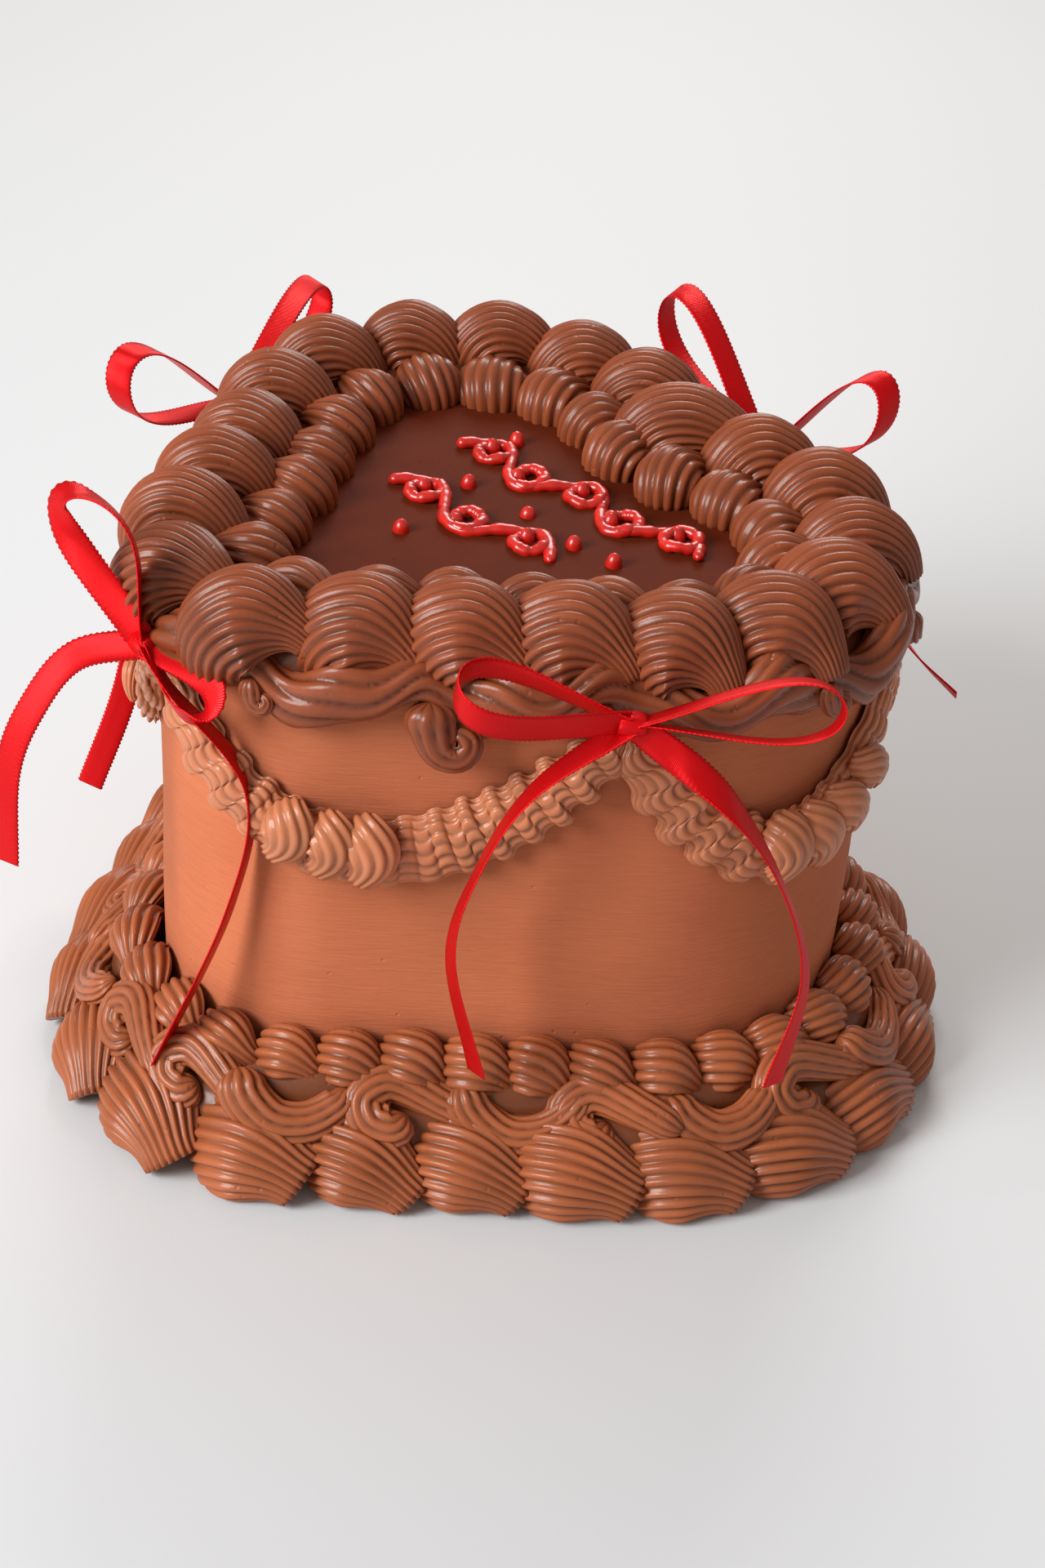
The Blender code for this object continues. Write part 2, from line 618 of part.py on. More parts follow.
def main():
    """Clears the scene and makes every piece."""
    for old in list(bpy.data.objects):
        bpy.data.objects.remove(old)
    cake = bpy.data.collections.new("heart_cake")
    cutters = bpy.data.collections.new("cutters")
    bpy.context.scene.collection.children.link(cake)
    bpy.context.scene.collection.children.link(cutters)
    icing = material("chocolate_icing", ICING, 0.42)
    body = make_body(cake)
    body.data.materials.append(material("wall_icing", WALL_ICING, 0.55))
    for made in (make_top_border(cake, cutters), make_base_border(cake, cutters)):
        made.data.materials.append(icing)
    swag_icing = material("swag_icing", SWAG_ICING, 0.42)
    ends = SWAG_ENDS + (1.0 + SWAG_ENDS[0],)
    for number, (first, last) in enumerate(zip(ends[:-1], ends[1:]), 1):
        make_swag(number, first, last, cake, cutters).data.materials.append(swag_icing)
    red_satin = material("red_satin", RED, 0.30)
    for name, (station, height, out) in BOWS.items():
        make_bow(name, station, height, out, LOOPS[name], TAILS[name], cake).data.materials.append(red_satin)
    for cutter in cutters.objects:
        cutter.hide_render = True
        cutter.display_type = "WIRE"


main()
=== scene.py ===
"""The look of a heart-shaped layer cake: smoothed chocolate coat, piped borders, swags, scrolls and bows.

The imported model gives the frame. Everything is in metres, +Z up, with the origin in the middle of the
cake's flat bottom. The heart's point looks along -Y. A place on the wall is given by its station, which is
0 at the point and runs counter-clockwise to 1, by how far out it stands from the wall, and by its height.
"""

import math

import bpy
import numpy as np
from bpy.props import FloatProperty, FloatVectorProperty, IntProperty, PointerProperty
from mathutils import Matrix, Vector


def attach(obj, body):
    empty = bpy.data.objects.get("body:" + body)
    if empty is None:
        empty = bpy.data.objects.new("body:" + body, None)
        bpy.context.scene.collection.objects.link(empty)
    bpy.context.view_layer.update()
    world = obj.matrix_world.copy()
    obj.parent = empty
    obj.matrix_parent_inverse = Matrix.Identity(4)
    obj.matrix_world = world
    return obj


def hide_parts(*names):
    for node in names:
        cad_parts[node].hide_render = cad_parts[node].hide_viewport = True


bl_info = {
    "name": "Heart layer cake",
    "version": (1, 0, 0),
    "blender": (4, 5, 0),
    "location": "View3D > Sidebar > Heart Cake",
    "description": "Dresses a heart-shaped cake with piped icing, ribbon bows and a studio",
    "category": "Add Mesh",
}

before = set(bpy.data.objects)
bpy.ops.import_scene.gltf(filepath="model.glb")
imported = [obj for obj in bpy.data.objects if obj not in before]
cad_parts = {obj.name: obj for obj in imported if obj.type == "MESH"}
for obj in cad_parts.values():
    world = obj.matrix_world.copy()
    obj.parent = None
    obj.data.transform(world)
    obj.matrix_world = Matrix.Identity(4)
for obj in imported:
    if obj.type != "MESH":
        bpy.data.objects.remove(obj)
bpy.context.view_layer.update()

# The stations between which the six swags hang.
SWAG_ENDS = (-0.012, 0.190, 0.340, 0.497, 0.640, 0.778, 0.988)

# The azimuth in which the hand moved while it piped the edge shells.
STROKE = math.radians(51.5)

# The red flourish. A vine has its line's two ends, its height in metres and its waves.
VINES = (
    ((-0.0340, 0.0215), (0.0370, 0.0325), 0.0064, 2.5),
    ((-0.0280, -0.0040), (0.0200, 0.0035), 0.0062, 1.5),
)
DROPS = (
    (-0.0290, 0.0330),
    (0.0010, 0.0125),
    (0.0290, 0.0145),
    (-0.0180, 0.0100),
    (0.0180, 0.0120),
    (-0.0090, -0.0160),
)

# A shell's size: the arch's radius, the level run, half the width and the crown above the middle line.
EDGE_DOME = np.array((0.0070, 0.0035, 0.0132, 0.0104))
EDGE_LONG = np.array((0.0048, 0.0125, 0.0140, 0.0118))
FLOOR_SHELL = (0.0048, 0.0135, 0.0132, 0.0112)
WALL_SHELL = (0.0028, 0.0058, 0.0076, 0.0068)
SWAG_HUMP = np.array((0.0022, 0.0066, 0.0056, 0.0038))

# The cores under the edge shells: out from the wall, down from the top, half the width, half the height.
EDGE_CORES = ((-0.0160, 0.0010, 0.0070, 0.0062), (-0.0050, 0.0030, 0.0052, 0.0066))

# How much of a core's ridge value is kept, so that the cores look like shade behind the shells.
EDGE_CORE_LIGHT = 0.3
BASE_CORE_LIGHT = 0.2

# Middle lines of piped curls, along the wall and up it: a drip in millimetres, and the foot's scrolls as
# shares of the distance between two scrolls. The biggest of the DRIPS drips is at the station BIG_DRIP.
DRIP = ((-3.2, 6.0), (-2.6, 2.0), (-0.8, -2.6), (2.2, -3.8), (3.6, -1.6), (2.2, -0.3), (1.2, -1.4))
DRIPS = 13
BIG_DRIP = 0.117
CURL = ((0.14, -0.05), (0.04, -0.15), (-0.16, -0.12), (-0.24, 0.08), (0.0, 0.24), (0.45, 0.08), (0.85, -0.1))
HANG = ((-0.40, 0.24), (-0.26, -0.02), (0.05, -0.20), (0.38, -0.14), (0.62, 0.08), (0.66, 0.24))

# The bows: station, height and distance of the knot. A loop is its reach, the side on which it opens, and
# the ways its width lies from start to end. A tail is its points and those ways. Loops and tails are in
# millimetres along the wall, out of it and up from the knot.
MM = 0.001
BOWS = {
    "bow_point": (-0.005, 0.1215, 0.0090),
    "bow_right": (0.190, 0.1235, 0.0125),
    "bow_notch": (0.499, 0.1200, 0.0160),
    "bow_left": (0.778, 0.1200, 0.0125),
}
LOOPS = {
    "bow_point": (
        (
            (-12, 7, 31),
            (7, -4.2, 0.5),
            ((0.7, 0.44, 0.3), (0.7, 0.44, 0.3), (0.85, 0.1, 0.1), (0.5, -0.87, 0), (0.5, -0.7, 0.2)),
        ),
        (
            (21, -3, -6),
            (2.3, -2.3, 4.3),
            (
                (0.04, -0.81, 0.59),
                (0.04, -0.81, 0.59),
                (0.5, -0.3, 0.6),
                (0.7, 0.44, 0.56),
                (0.7, 0.44, 0.56),
            ),
        ),
    ),
    "bow_right": (
        ((-36, 11, 13), (0, 6.5, -2.5), ((0.1, 0.15, 1), (0.1, 0.25, 0.95), (0.1, 0.7, 0.7))),
        ((41, 6, 10), (-1, 0, 7), ((0, 0.95, 0.25), (0, 0.95, 0.45))),
    ),
    "bow_notch": (
        ((38, 0, 27), (-3, 0, 7.5), ((0.1, 1, 0.4), (0.2, 0.9, 0.1))),
        ((-29, 9, 24), (2, 0, 8), ((-0.2, 1, 0.3), (0, 1, 0.2))),
    ),
    "bow_left": (
        ((34, 12, 18), (-2, 0, 8), ((0.1, 1, 0.3), (0, 1, 0.2))),
        ((-46, 1, 13), (2, 0, 7), ((-0.2, 1, 0.3), (-0.1, 1, 0.2))),
    ),
}
TAILS = {
    "bow_point": (
        (
            ((-8, 12, -4), (-13, 20, -17), (-16, 25, -33), (-15, 27, -56)),
            ((0.5, 0.2, -0.6), (0.7, -0.3, -0.4), (0.8, -0.4, 0)),
        ),
        (
            ((11, 0, -5), (23, -12, -27), (22, -8, -58), (14.5, 6.5, -100)),
            ((0.8, 0.5, 0.2), (0.7, 0.65, 0.1), (0.56, 0.82, 0), (0.5, 0.85, 0)),
        ),
    ),
    "bow_right": (
        (
            ((-19, 5, -14), (-29, 6, -33), (-34, 7, -56), (-27, 8, -87)),
            ((0.2, 0.9, -0.3), (0.15, 0.83, 0.45), (0.6, 0.8, 0.2)),
        ),
        (
            ((20, 5, -14), (33, 7, -32), (41, 9, -56), (37, 12, -83)),
            ((0.7, 0.1, 0.6), (0.2, -0.8, -0.4), (0.75, -0.6, -0.1)),
        ),
    ),
    "bow_notch": (
        (
            ((12, 6, -14), (20, 8, -38), (22, 9, -62), (18, 13, -86)),
            ((0.7, -0.4, 0.6), (0.4, -0.9, 0), (0.7, -0.6, 0)),
        ),
        (
            ((-19, 6, -12), (-37, 6, -24), (-52, 5, -32), (-65, 7, -38)),
            ((-0.3, 1, 0), (0.1, 0.9, -0.4), (0.45, 0.57, -0.66)),
        ),
    ),
    "bow_left": (
        (
            ((15, 5, -10), (28, 8, -36), (35, 12, -68), (42, 19, -95)),
            ((0.7, -0.4, 0.6), (0.5, 0.6, 0.4), (0.2, 0.9, 0.2)),
        ),
        (
            ((-14, 5, -12), (-24, 8, -35), (-30, 9, -60), (-28, 13, -85)),
            ((0.7, 0.4, -0.6), (0.4, 0.9, 0), (0.7, 0.6, 0)),
        ),
    ),
}

# The photo's viewing angle, as the camera's place, turns and lens.
CAMERA_PLACE = (0.3984, -0.3261, 0.4040)
CAMERA_HEADING = math.radians(49.21)
CAMERA_DIP = math.radians(34.03)
CAMERA_LEAN = 0.074
CAMERA_LENS = 59.4

# The lamps: name, place, size, power and colour. Each looks at the cake's middle.
LAMPS = (
    ("window_light", (-0.10, -1.25, 0.85), 0.70, 28.5, (0.955, 0.99, 1.0)),
    ("back_light", (-0.75, 0.75, 0.90), 0.60, 8.0, (1.0, 0.99, 0.97)),
)
CAKE_MIDDLE = Vector((0.0, 0.0, 0.08))


class CakeShape(bpy.types.PropertyGroup):
    """The heart's outline and the cake's height."""

    lobe_x: FloatProperty(
        name="Lobe X",
        description="How far each lobe's centre is from the middle",
        default=0.030,
        unit="LENGTH",
        precision=4,
    )
    lobe_radius: FloatProperty(
        name="Lobe Radius",
        description="Radius of each lobe",
        default=0.0545,
        unit="LENGTH",
        precision=4,
    )
    point_depth: FloatProperty(
        name="Point Depth",
        description="From the lobes' centres to the point arc's centre",
        default=0.060,
        unit="LENGTH",
        precision=4,
    )
    point_radius: FloatProperty(
        name="Point Radius",
        description="Radius of the rounded point",
        default=0.041,
        unit="LENGTH",
        precision=4,
    )
    notch_radius: FloatProperty(
        name="Notch Radius",
        description="Radius of the rounded notch",
        default=0.020,
        unit="LENGTH",
        precision=4,
    )
    height: FloatProperty(
        name="Height",
        description="Height of the smoothed coat",
        default=0.125,
        unit="LENGTH",
        precision=4,
    )


class PipingSizes(bpy.types.PropertyGroup):
    """Counts and sizes of the piping."""

    outer_shells: IntProperty(
        name="Edge Shells",
        description="Big shells along the top edge",
        default=21,
        min=8,
        max=40,
    )
    inner_shells: IntProperty(
        name="Inner Shells",
        description="Small shells inside them",
        default=22,
        min=8,
        max=40,
    )
    lower_shells: IntProperty(
        name="Floor Shells",
        description="Big shells round the bottom",
        default=25,
        min=8,
        max=50,
    )
    upper_shells: IntProperty(
        name="Wall Shells",
        description="Small shells against the wall",
        default=38,
        min=8,
        max=60,
    )
    scrolls: IntProperty(
        name="Scrolls",
        description="Scrolls between the two bottom rows",
        default=25,
        min=8,
        max=50,
    )
    groove: FloatProperty(
        name="Groove",
        description="Depth of the grooves as a share of the shell's radius",
        default=0.13,
        min=0.0,
        max=0.4,
    )
    line_radius: FloatProperty(
        name="Line Radius",
        description="Radius of the red piped lines",
        default=0.00145,
        unit="LENGTH",
        precision=5,
    )
    swag_top: FloatProperty(
        name="Swag Top",
        description="Height of the swags' ends",
        default=0.1120,
        unit="LENGTH",
        precision=4,
    )
    swag_drop: FloatProperty(
        name="Swag Drop",
        description="How far the swags sag",
        default=0.0310,
        unit="LENGTH",
        precision=4,
    )


class RibbonSizes(bpy.types.PropertyGroup):
    """The satin ribbon."""

    width: FloatProperty(
        name="Width",
        description="Width of the ribbon",
        default=0.0066,
        unit="LENGTH",
        precision=4,
    )
    thickness: FloatProperty(
        name="Thickness",
        description="Thickness of the ribbon",
        default=0.00045,
        unit="LENGTH",
        precision=5,
    )
    picot: FloatProperty(
        name="Picot Spacing",
        description="Distance between the small loops of its edges",
        default=0.00115,
        unit="LENGTH",
        precision=5,
    )


class CakeColours(bpy.types.PropertyGroup):
    """Colours, as linear red, green and blue."""

    coat: FloatVectorProperty(
        name="Coat",
        description="Smoothed icing of the wall",
        subtype="COLOR",
        default=(0.490, 0.146, 0.068),
        min=0.0,
        max=1.0,
    )
    # The plateau colour is painted shade: the top is given a darker, richer brown than the wall.
    plateau: FloatVectorProperty(
        name="Plateau",
        description="Smoothed icing of the top",
        subtype="COLOR",
        default=(0.098, 0.015, 0.005),
        min=0.0,
        max=1.0,
    )
    shell: FloatVectorProperty(
        name="Shells",
        description="Piped icing of the borders",
        subtype="COLOR",
        default=(0.232, 0.053, 0.018),
        min=0.0,
        max=1.0,
    )
    foot: FloatVectorProperty(
        name="Foot",
        description="Piped icing of the base border",
        subtype="COLOR",
        default=(0.335, 0.091, 0.032),
        min=0.0,
        max=1.0,
    )
    swag: FloatVectorProperty(
        name="Swags",
        description="Lighter piped icing of the swags",
        subtype="COLOR",
        default=(0.480, 0.160, 0.070),
        min=0.0,
        max=1.0,
    )
    red: FloatVectorProperty(
        name="Red Icing",
        description="Red piping of the flourish",
        subtype="COLOR",
        default=(0.560, 0.012, 0.006),
        min=0.0,
        max=1.0,
    )
    ribbon: FloatVectorProperty(
        name="Ribbon",
        description="Satin of the bows",
        subtype="COLOR",
        default=(0.620, 0.003, 0.006),
        min=0.0,
        max=1.0,
    )


class CakeSettings(bpy.types.PropertyGroup):
    """Everything that a user would change."""

    shape: PointerProperty(name="Shape", description="The heart's outline and height", type=CakeShape)
    piping: PointerProperty(name="Piping", description="Counts and sizes of the piping", type=PipingSizes)
    ribbon: PointerProperty(name="Ribbon", description="The satin ribbon's sizes", type=RibbonSizes)
    colours: PointerProperty(name="Colours", description="Colours of icing and ribbon", type=CakeColours)


def hand(index, channel):
    """A fixed number from -1 to 1 that differs from piece to piece, as hand work does."""
    wave = math.sin(127.1 * index + 311.7 * channel) * 43758.5453
    return 2.0 * (wave - math.floor(wave)) - 1.0


def ease(x):
    """An even S from 0 to 1, flat outside."""
    x = np.clip(x, 0.0, 1.0)
    return x * x * (3.0 - 2.0 * x)


def unit(vectors):
    """Vectors of length 1."""
    return vectors / np.maximum(np.linalg.norm(vectors, axis=-1, keepdims=True), 1e-12)


def spline(points, count):
    """A smooth curve through points (Catmull-Rom), with points at even steps of its parameter."""
    points = np.asarray(points, float)
    padded = np.concatenate([[2 * points[0] - points[1]], points, [2 * points[-1] - points[-2]]])
    where = np.linspace(0.0, len(points) - 1.0, count)
    leg = np.minimum(where.astype(int), len(points) - 2)
    t = (where - leg)[:, None]
    a, b, c, d = (padded[leg + i] for i in range(4))
    return 0.5 * (2 * b + (c - a) * t + (2 * a - 5 * b + 4 * c - d) * t**2 + (3 * b - a - 3 * c + d) * t**3)


def run_of(path):
    """How far along a line each of its points lies."""
    return np.concatenate([[0.0], np.cumsum(np.linalg.norm(np.diff(path, axis=0), axis=1))])


def even_path(path, count):
    """The same line with its points at even distances, and its length."""
    run = run_of(path)
    where = np.linspace(0.0, run[-1], count)
    return np.stack([np.interp(where, run, path[:, i]) for i in range(path.shape[1])], -1), run[-1]


class HeartWall:
    """The heart outline: each half is a point arc, a straight side, a lobe arc and a notch arc."""

    def __init__(self, shape):
        """The straight side is the common tangent of the point arc and the lobe arc, and the lobe arc meets
        the notch arc on the line between their centres. Each arc's length is its radius times its angle."""
        self.shape = shape
        reach = math.hypot(shape.lobe_x, shape.point_depth)
        slip = shape.lobe_radius - shape.point_radius
        self.side = math.atan2(shape.point_depth, shape.lobe_x) - math.pi / 2 - math.asin(slip / reach)
        self.notch_y = math.sqrt((shape.lobe_radius + shape.notch_radius) ** 2 - shape.lobe_x**2)
        self.meet = math.atan2(self.notch_y, -shape.lobe_x)
        self.lengths = np.array(
            [
                shape.point_radius * (self.side + math.pi / 2),
                math.sqrt(reach**2 - slip**2),
                shape.lobe_radius * (self.meet - self.side),
                shape.notch_radius * (self.meet - math.pi / 2),
            ]
        )
        self.length = 2.0 * float(self.lengths.sum())
        self.middle_y = (shape.lobe_radius - shape.point_depth - shape.point_radius) / 2

    def outline(self, station):
        """Points and outward normals of the wall at stations. The left half mirrors the right one."""
        shape = self.shape
        turn = np.mod(np.asarray(station, float), 1.0)
        left = turn > 0.5
        run = np.where(left, 1.0 - turn, turn) * self.length
        ends = np.cumsum(self.lengths)
        zones = [run < ends[0], run < ends[1], run < ends[2]]
        along = (run - ends[0]) / self.lengths[1]
        angle = np.select(
            zones,
            [
                -np.pi / 2 + run / shape.point_radius,
                np.full_like(run, self.side),
                self.side + (run - ends[1]) / shape.lobe_radius,
            ],
            self.meet - (run - ends[2]) / shape.notch_radius,
        )
        nx, ny = np.cos(angle), np.sin(angle)
        start_x = shape.point_radius * nx
        start_y = -shape.point_depth + shape.point_radius * ny
        lobe_x = shape.lobe_x + shape.lobe_radius * nx
        lobe_y = shape.lobe_radius * ny
        side_x = start_x + along * (lobe_x - start_x)
        side_y = start_y + along * (lobe_y - start_y)
        x = np.select(zones, [start_x, side_x, lobe_x], -shape.notch_radius * nx)
        y = np.select(zones, [start_y, side_y, lobe_y], self.notch_y - shape.notch_radius * ny)
        flip = np.where(left, -1.0, 1.0)
        return np.stack([x * flip, y - self.middle_y], -1), np.stack([nx * flip, ny], -1)

    def place(self, station, out, height):
        """World points at stations, moved out along the normal. None crosses the heart's middle line."""
        point, normal = self.outline(station)
        station, out, height = np.broadcast_arrays(np.asarray(station, float), out, height)
        place = point + normal * out[..., None]
        sign = np.where(np.mod(station, 1.0) > 0.5, -1.0, 1.0)
        return np.stack([sign * np.maximum(place[..., 0] * sign, 0.0), place[..., 1], height], -1)

    def heading(self, station):
        """The azimuth in which the outline runs at a station."""
        _, normal = self.outline(station)
        return math.atan2(normal[0], -normal[1])

    def even(self, out, count, phase):
        """Stations that stand evenly along the outline at a distance out, and the distance between them."""
        fine = np.linspace(0.0, 1.0, 4001)
        run = run_of(self.place(fine, out, 0.0))
        share = np.mod((np.arange(count) + phase) / count, 1.0)
        return np.interp(share * run[-1], run, fine), run[-1] / count

    def seat(self, local, station, out, height, roll, yaw=0.0):
        """Local points (along, across, up) set on the wall. Up leans outwards from +Z by roll, and the
        piece turns by yaw about its own up."""
        _, normal = self.outline(station)
        outward = np.array([normal[0], normal[1], 0.0])
        along = np.array([-normal[1], normal[0], 0.0])
        level = np.array([0.0, 0.0, 1.0])
        up = math.cos(roll) * level + math.sin(roll) * outward
        across = math.cos(roll) * outward - math.sin(roll) * level
        ahead = math.cos(yaw) * along + math.sin(yaw) * across
        aside = math.cos(yaw) * across - math.sin(yaw) * along
        origin = self.place(station, out, height)
        return origin + local[..., :1] * ahead + local[..., 1:2] * aside + local[..., 2:] * up


class Skin:
    """Grids of points that become one mesh: hoops, or tubes with a pole at each end."""

    def __init__(self):
        """Starts with no points and no faces."""
        self.points, self.quads, self.tris, self.ridge, self.uv = [], [], [], [], []
        self.count = 0

    def add(self, grid, ridge=None, uv=None, hoop=False):
        """A grid with rows along the piece and columns round it. Its faces look outwards: where the signed
        volume, a sixth of the sum of a . (b x c) over its triangles, is negative, they are turned."""
        rows, cols = grid.shape[:2]
        ridge = np.ones((rows, cols)) if ridge is None else ridge
        uv = np.zeros((rows, cols, 2)) if uv is None else uv
        index = np.arange(rows * cols).reshape(rows, cols)
        below = index if hoop else index[:-1]
        above = np.roll(index, -1, 0) if hoop else index[1:]
        quads = np.stack([below, np.roll(below, -1, 1), np.roll(above, -1, 1), above], -1).reshape(-1, 4)
        points, ridge, uv = grid.reshape(-1, 3), ridge.reshape(-1), uv.reshape(-1, 2)
        tris = np.zeros((0, 3), int)
        if not hoop:
            first, last = np.full(cols, rows * cols), np.full(cols, rows * cols + 1)
            start = np.stack([np.roll(index[0], -1), index[0], first], -1)
            end = np.stack([index[-1], np.roll(index[-1], -1), last], -1)
            tris = np.concatenate([start, end])
            points = np.concatenate([points, grid[:1].mean(1), grid[-1:].mean(1)])
            ridge = np.concatenate([ridge, [ridge[:cols].mean(), ridge[-cols:].mean()]])
            uv = np.concatenate([uv, [uv[:cols].mean(0)], [uv[-cols:].mean(0)]])
        flat = np.concatenate([quads[:, [0, 1, 2]], quads[:, [0, 2, 3]], tris])
        a, b, c = (points[flat[:, i]] - points.mean(0) for i in range(3))
        if (a * np.cross(b, c)).sum() < 0.0:
            quads, tris = quads[:, ::-1], tris[:, ::-1]
        self.points.append(points)
        self.ridge.append(ridge)
        self.uv.append(uv)
        self.quads.append(quads + self.count)
        self.tris.append(tris + self.count)
        self.count += len(points)

    def build(self, name, material, slot, *nodes):
        """The mesh and its object, which rides on the cake and stands for the given solids."""
        mesh = bpy.data.meshes.new(name)
        points = np.concatenate(self.points)
        quads, tris = np.concatenate(self.quads), np.concatenate(self.tris)
        loops = np.concatenate([quads.ravel(), tris.ravel()]).astype(np.int32)
        starts = np.concatenate([np.arange(len(quads)) * 4, len(quads) * 4 + np.arange(len(tris)) * 3])
        mesh.vertices.add(len(points))
        mesh.vertices.foreach_set("co", points.astype(np.float32).ravel())
        mesh.loops.add(len(loops))
        mesh.loops.foreach_set("vertex_index", loops)
        mesh.polygons.add(len(starts))
        mesh.polygons.foreach_set("loop_start", starts.astype(np.int32))
        mesh.update(calc_edges=True)
        mesh.polygons.foreach_set("use_smooth", np.ones(len(starts), bool))
        ridge = np.concatenate(self.ridge).astype(np.float32)
        mesh.attributes.new("ridge", "FLOAT", "POINT").data.foreach_set("value", ridge)
        uv = np.concatenate(self.uv)[loops].astype(np.float32)
        mesh.uv_layers.new(name="UVMap").data.foreach_set("uv", uv.ravel())
        if mesh.validate():
            raise RuntimeError(f"{name} has faces that can't be kept")
        mesh.materials.append(material)
        made = bpy.data.objects.new(name, mesh)
        bpy.context.scene.collection.objects.link(made)
        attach(made, "root")
        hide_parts(*nodes)
        return made


def crown_angles(ridges, samples, reach=2.25):
    """Angles round a section, 0 at its crown: fine over the ridges that show and coarse underneath."""
    fine = np.linspace(-reach, reach, int(ridges * samples * reach / np.pi) + 1)
    coarse = np.linspace(reach, 2.0 * np.pi - reach, 7)[1:-1]
    return np.concatenate([fine, coarse])


def ridge_wave(angle, ridges):
    """1 on a ridge and 0 in a groove: the rounded crests and sharp grooves of a star nozzle's paste."""
    return np.abs(np.cos(0.5 * ridges * angle)) ** 0.75


def shell_grid(size, ridges, groove, turn, fall, tail, twist, rows, samples):
    """A piped shell and its ridge values, with its arch's middle over the local origin.

    size is (arch, run, half, crown) in metres. The middle line starts straight up, bends over with radius
    arch, goes level for run, and bends down to the slope fall, while its heading turns from turn[0] to
    turn[1]. Round it, the section reaches crown upwards, half to each side and back to the arch's centre
    below, so that the grooves seen from the side are rings round that centre. It swells to the crown and
    tapers to tail, and twist turns its ridges round it from end to end.
    """
    arch, run, half, crown = size
    step = np.linspace(0.0, 1.0, rows)
    total = arch * (0.5 * np.pi + fall) + run
    way = step * total
    rise = 0.5 * np.pi * arch
    bent = np.where(way < rise, 0.5 * np.pi - way / arch, -np.maximum(way - rise - run, 0.0) / arch)
    pitch = 0.6 * bent + 0.4 * (0.5 * np.pi - (0.5 * np.pi + fall) * step)
    heading = turn[0] + (turn[1] - turn[0]) * ease(0.10 + 0.90 * step)
    ahead = np.stack([np.cos(pitch) * np.cos(heading), np.cos(pitch) * np.sin(heading), np.sin(pitch)], -1)
    path = np.cumsum(ahead * total / (rows - 1), axis=0)
    path[:, :2] -= path[int(0.45 * rows), :2]
    lean = -np.sin(pitch)
    crown_way = np.stack([lean * np.cos(heading), lean * np.sin(heading), np.cos(pitch)], -1)
    side_way = np.stack([-np.sin(heading), np.cos(heading), np.zeros(rows)], -1)
    swell = 0.82 + 0.18 * np.sin(0.5 * np.pi * np.clip(step / 0.35, 0.0, 1.0))
    swell = swell * (1.0 - (1.0 - tail) * ease((step - 0.38) / 0.62) ** 1.1)
    angle = crown_angles(ridges, samples)
    wave = ridge_wave(angle[None, :] + twist * step[:, None], ridges)
    body = swell[:, None] * (1.0 - groove * (1.0 - wave))
    toward = np.where(np.cos(angle) > 0.0, crown, 0.95 * arch)[None, :] * np.cos(angle) * body
    across = half * np.sin(angle)[None, :] * body
    grid = path[:, None] + toward[..., None] * crown_way[:, None] + across[..., None] * side_way[:, None]
    return grid, wave


def add_shell(skin, wall, station, spot, size, ridges, groove, turn, fall, tail, index, rows=30, samples=5):
    """One shell set on the wall, a little unlike its neighbours. spot is (out, height, roll, yaw)."""
    grown = tuple(part * (1.0 + 0.08 * hand(index, channel)) for channel, part in enumerate(size, 2))
    turned = (turn[0] + 0.10 * hand(index, 6), turn[1] + 0.12 * hand(index, 7))
    grid, wave = shell_grid(grown, ridges, groove, turned, fall, tail, 0.12 * hand(index, 8), rows, samples)
    out, height, roll, yaw = spot
    lean = roll + 0.07 * hand(index, 9)
    skin.add(settle(wall.seat(grid, station, out, height, lean, yaw + 0.13 * hand(index, 10))), wave)


def hoop_grid(path, wide, tall, ridges, groove, samples, sway=0.0):
    """A ridged hoop along a closed path: wide and tall are its half sizes, and sway turns its ridges round
    it. Each section stands upright across the path: an ellipse, shrunk by groove between two ridges."""
    ahead = unit(np.roll(path, -1, 0) - np.roll(path, 1, 0))
    side = unit(np.cross(ahead, (0.0, 0.0, 1.0)))
    angle = np.arange(ridges * samples) / (ridges * samples) * 2.0 * np.pi
    wave = ridge_wave(angle[None, :] + np.broadcast_to(sway, len(path))[:, None], ridges)
    body = 1.0 - groove * (1.0 - wave)
    reach = np.broadcast_to(wide, len(path))[:, None] * body * np.cos(angle)
    lift = np.broadcast_to(tall, len(path))[:, None] * body * np.sin(angle)
    grid = path[:, None] + reach[..., None] * side[:, None]
    grid[..., 2] += lift
    return grid, wave


def rope_grid(path, radius, ridges, groove, samples, up, flat=1.0, twist=0.0):
    """A ridged rope along a path: round sections across it, of the given radius at each point, flattened
    along the direction up, with ridges that wind round it twist times. Gives the grid and its ridges."""
    ahead = unit(np.gradient(path, axis=0))
    side = unit(np.cross(ahead, up))
    above = np.cross(side, ahead)
    angle = np.arange(ridges * samples) / (ridges * samples) * 2.0 * np.pi
    step = np.linspace(0.0, 1.0, len(path))
    wave = ridge_wave(angle[None, :] + twist * step[:, None] * 2.0 * np.pi, ridges)
    body = np.broadcast_to(radius, len(path))[:, None] * (1.0 - groove * (1.0 - wave))
    grid = (
        path[:, None]
        + (body * np.cos(angle))[..., None] * side[:, None]
        + (flat * body * np.sin(angle))[..., None] * above[:, None]
    )
    return grid, wave


def round_ends(radius, path, reach):
    """The radius at each point of a path, rounded off like a ball within reach of its two ends."""
    run = run_of(path)
    near = np.clip(np.minimum(run, run[-1] - run) / reach, 0.0, 1.0)
    return radius * np.sqrt(np.clip(1.0 - (1.0 - near) ** 2, 0.02, 1.0))


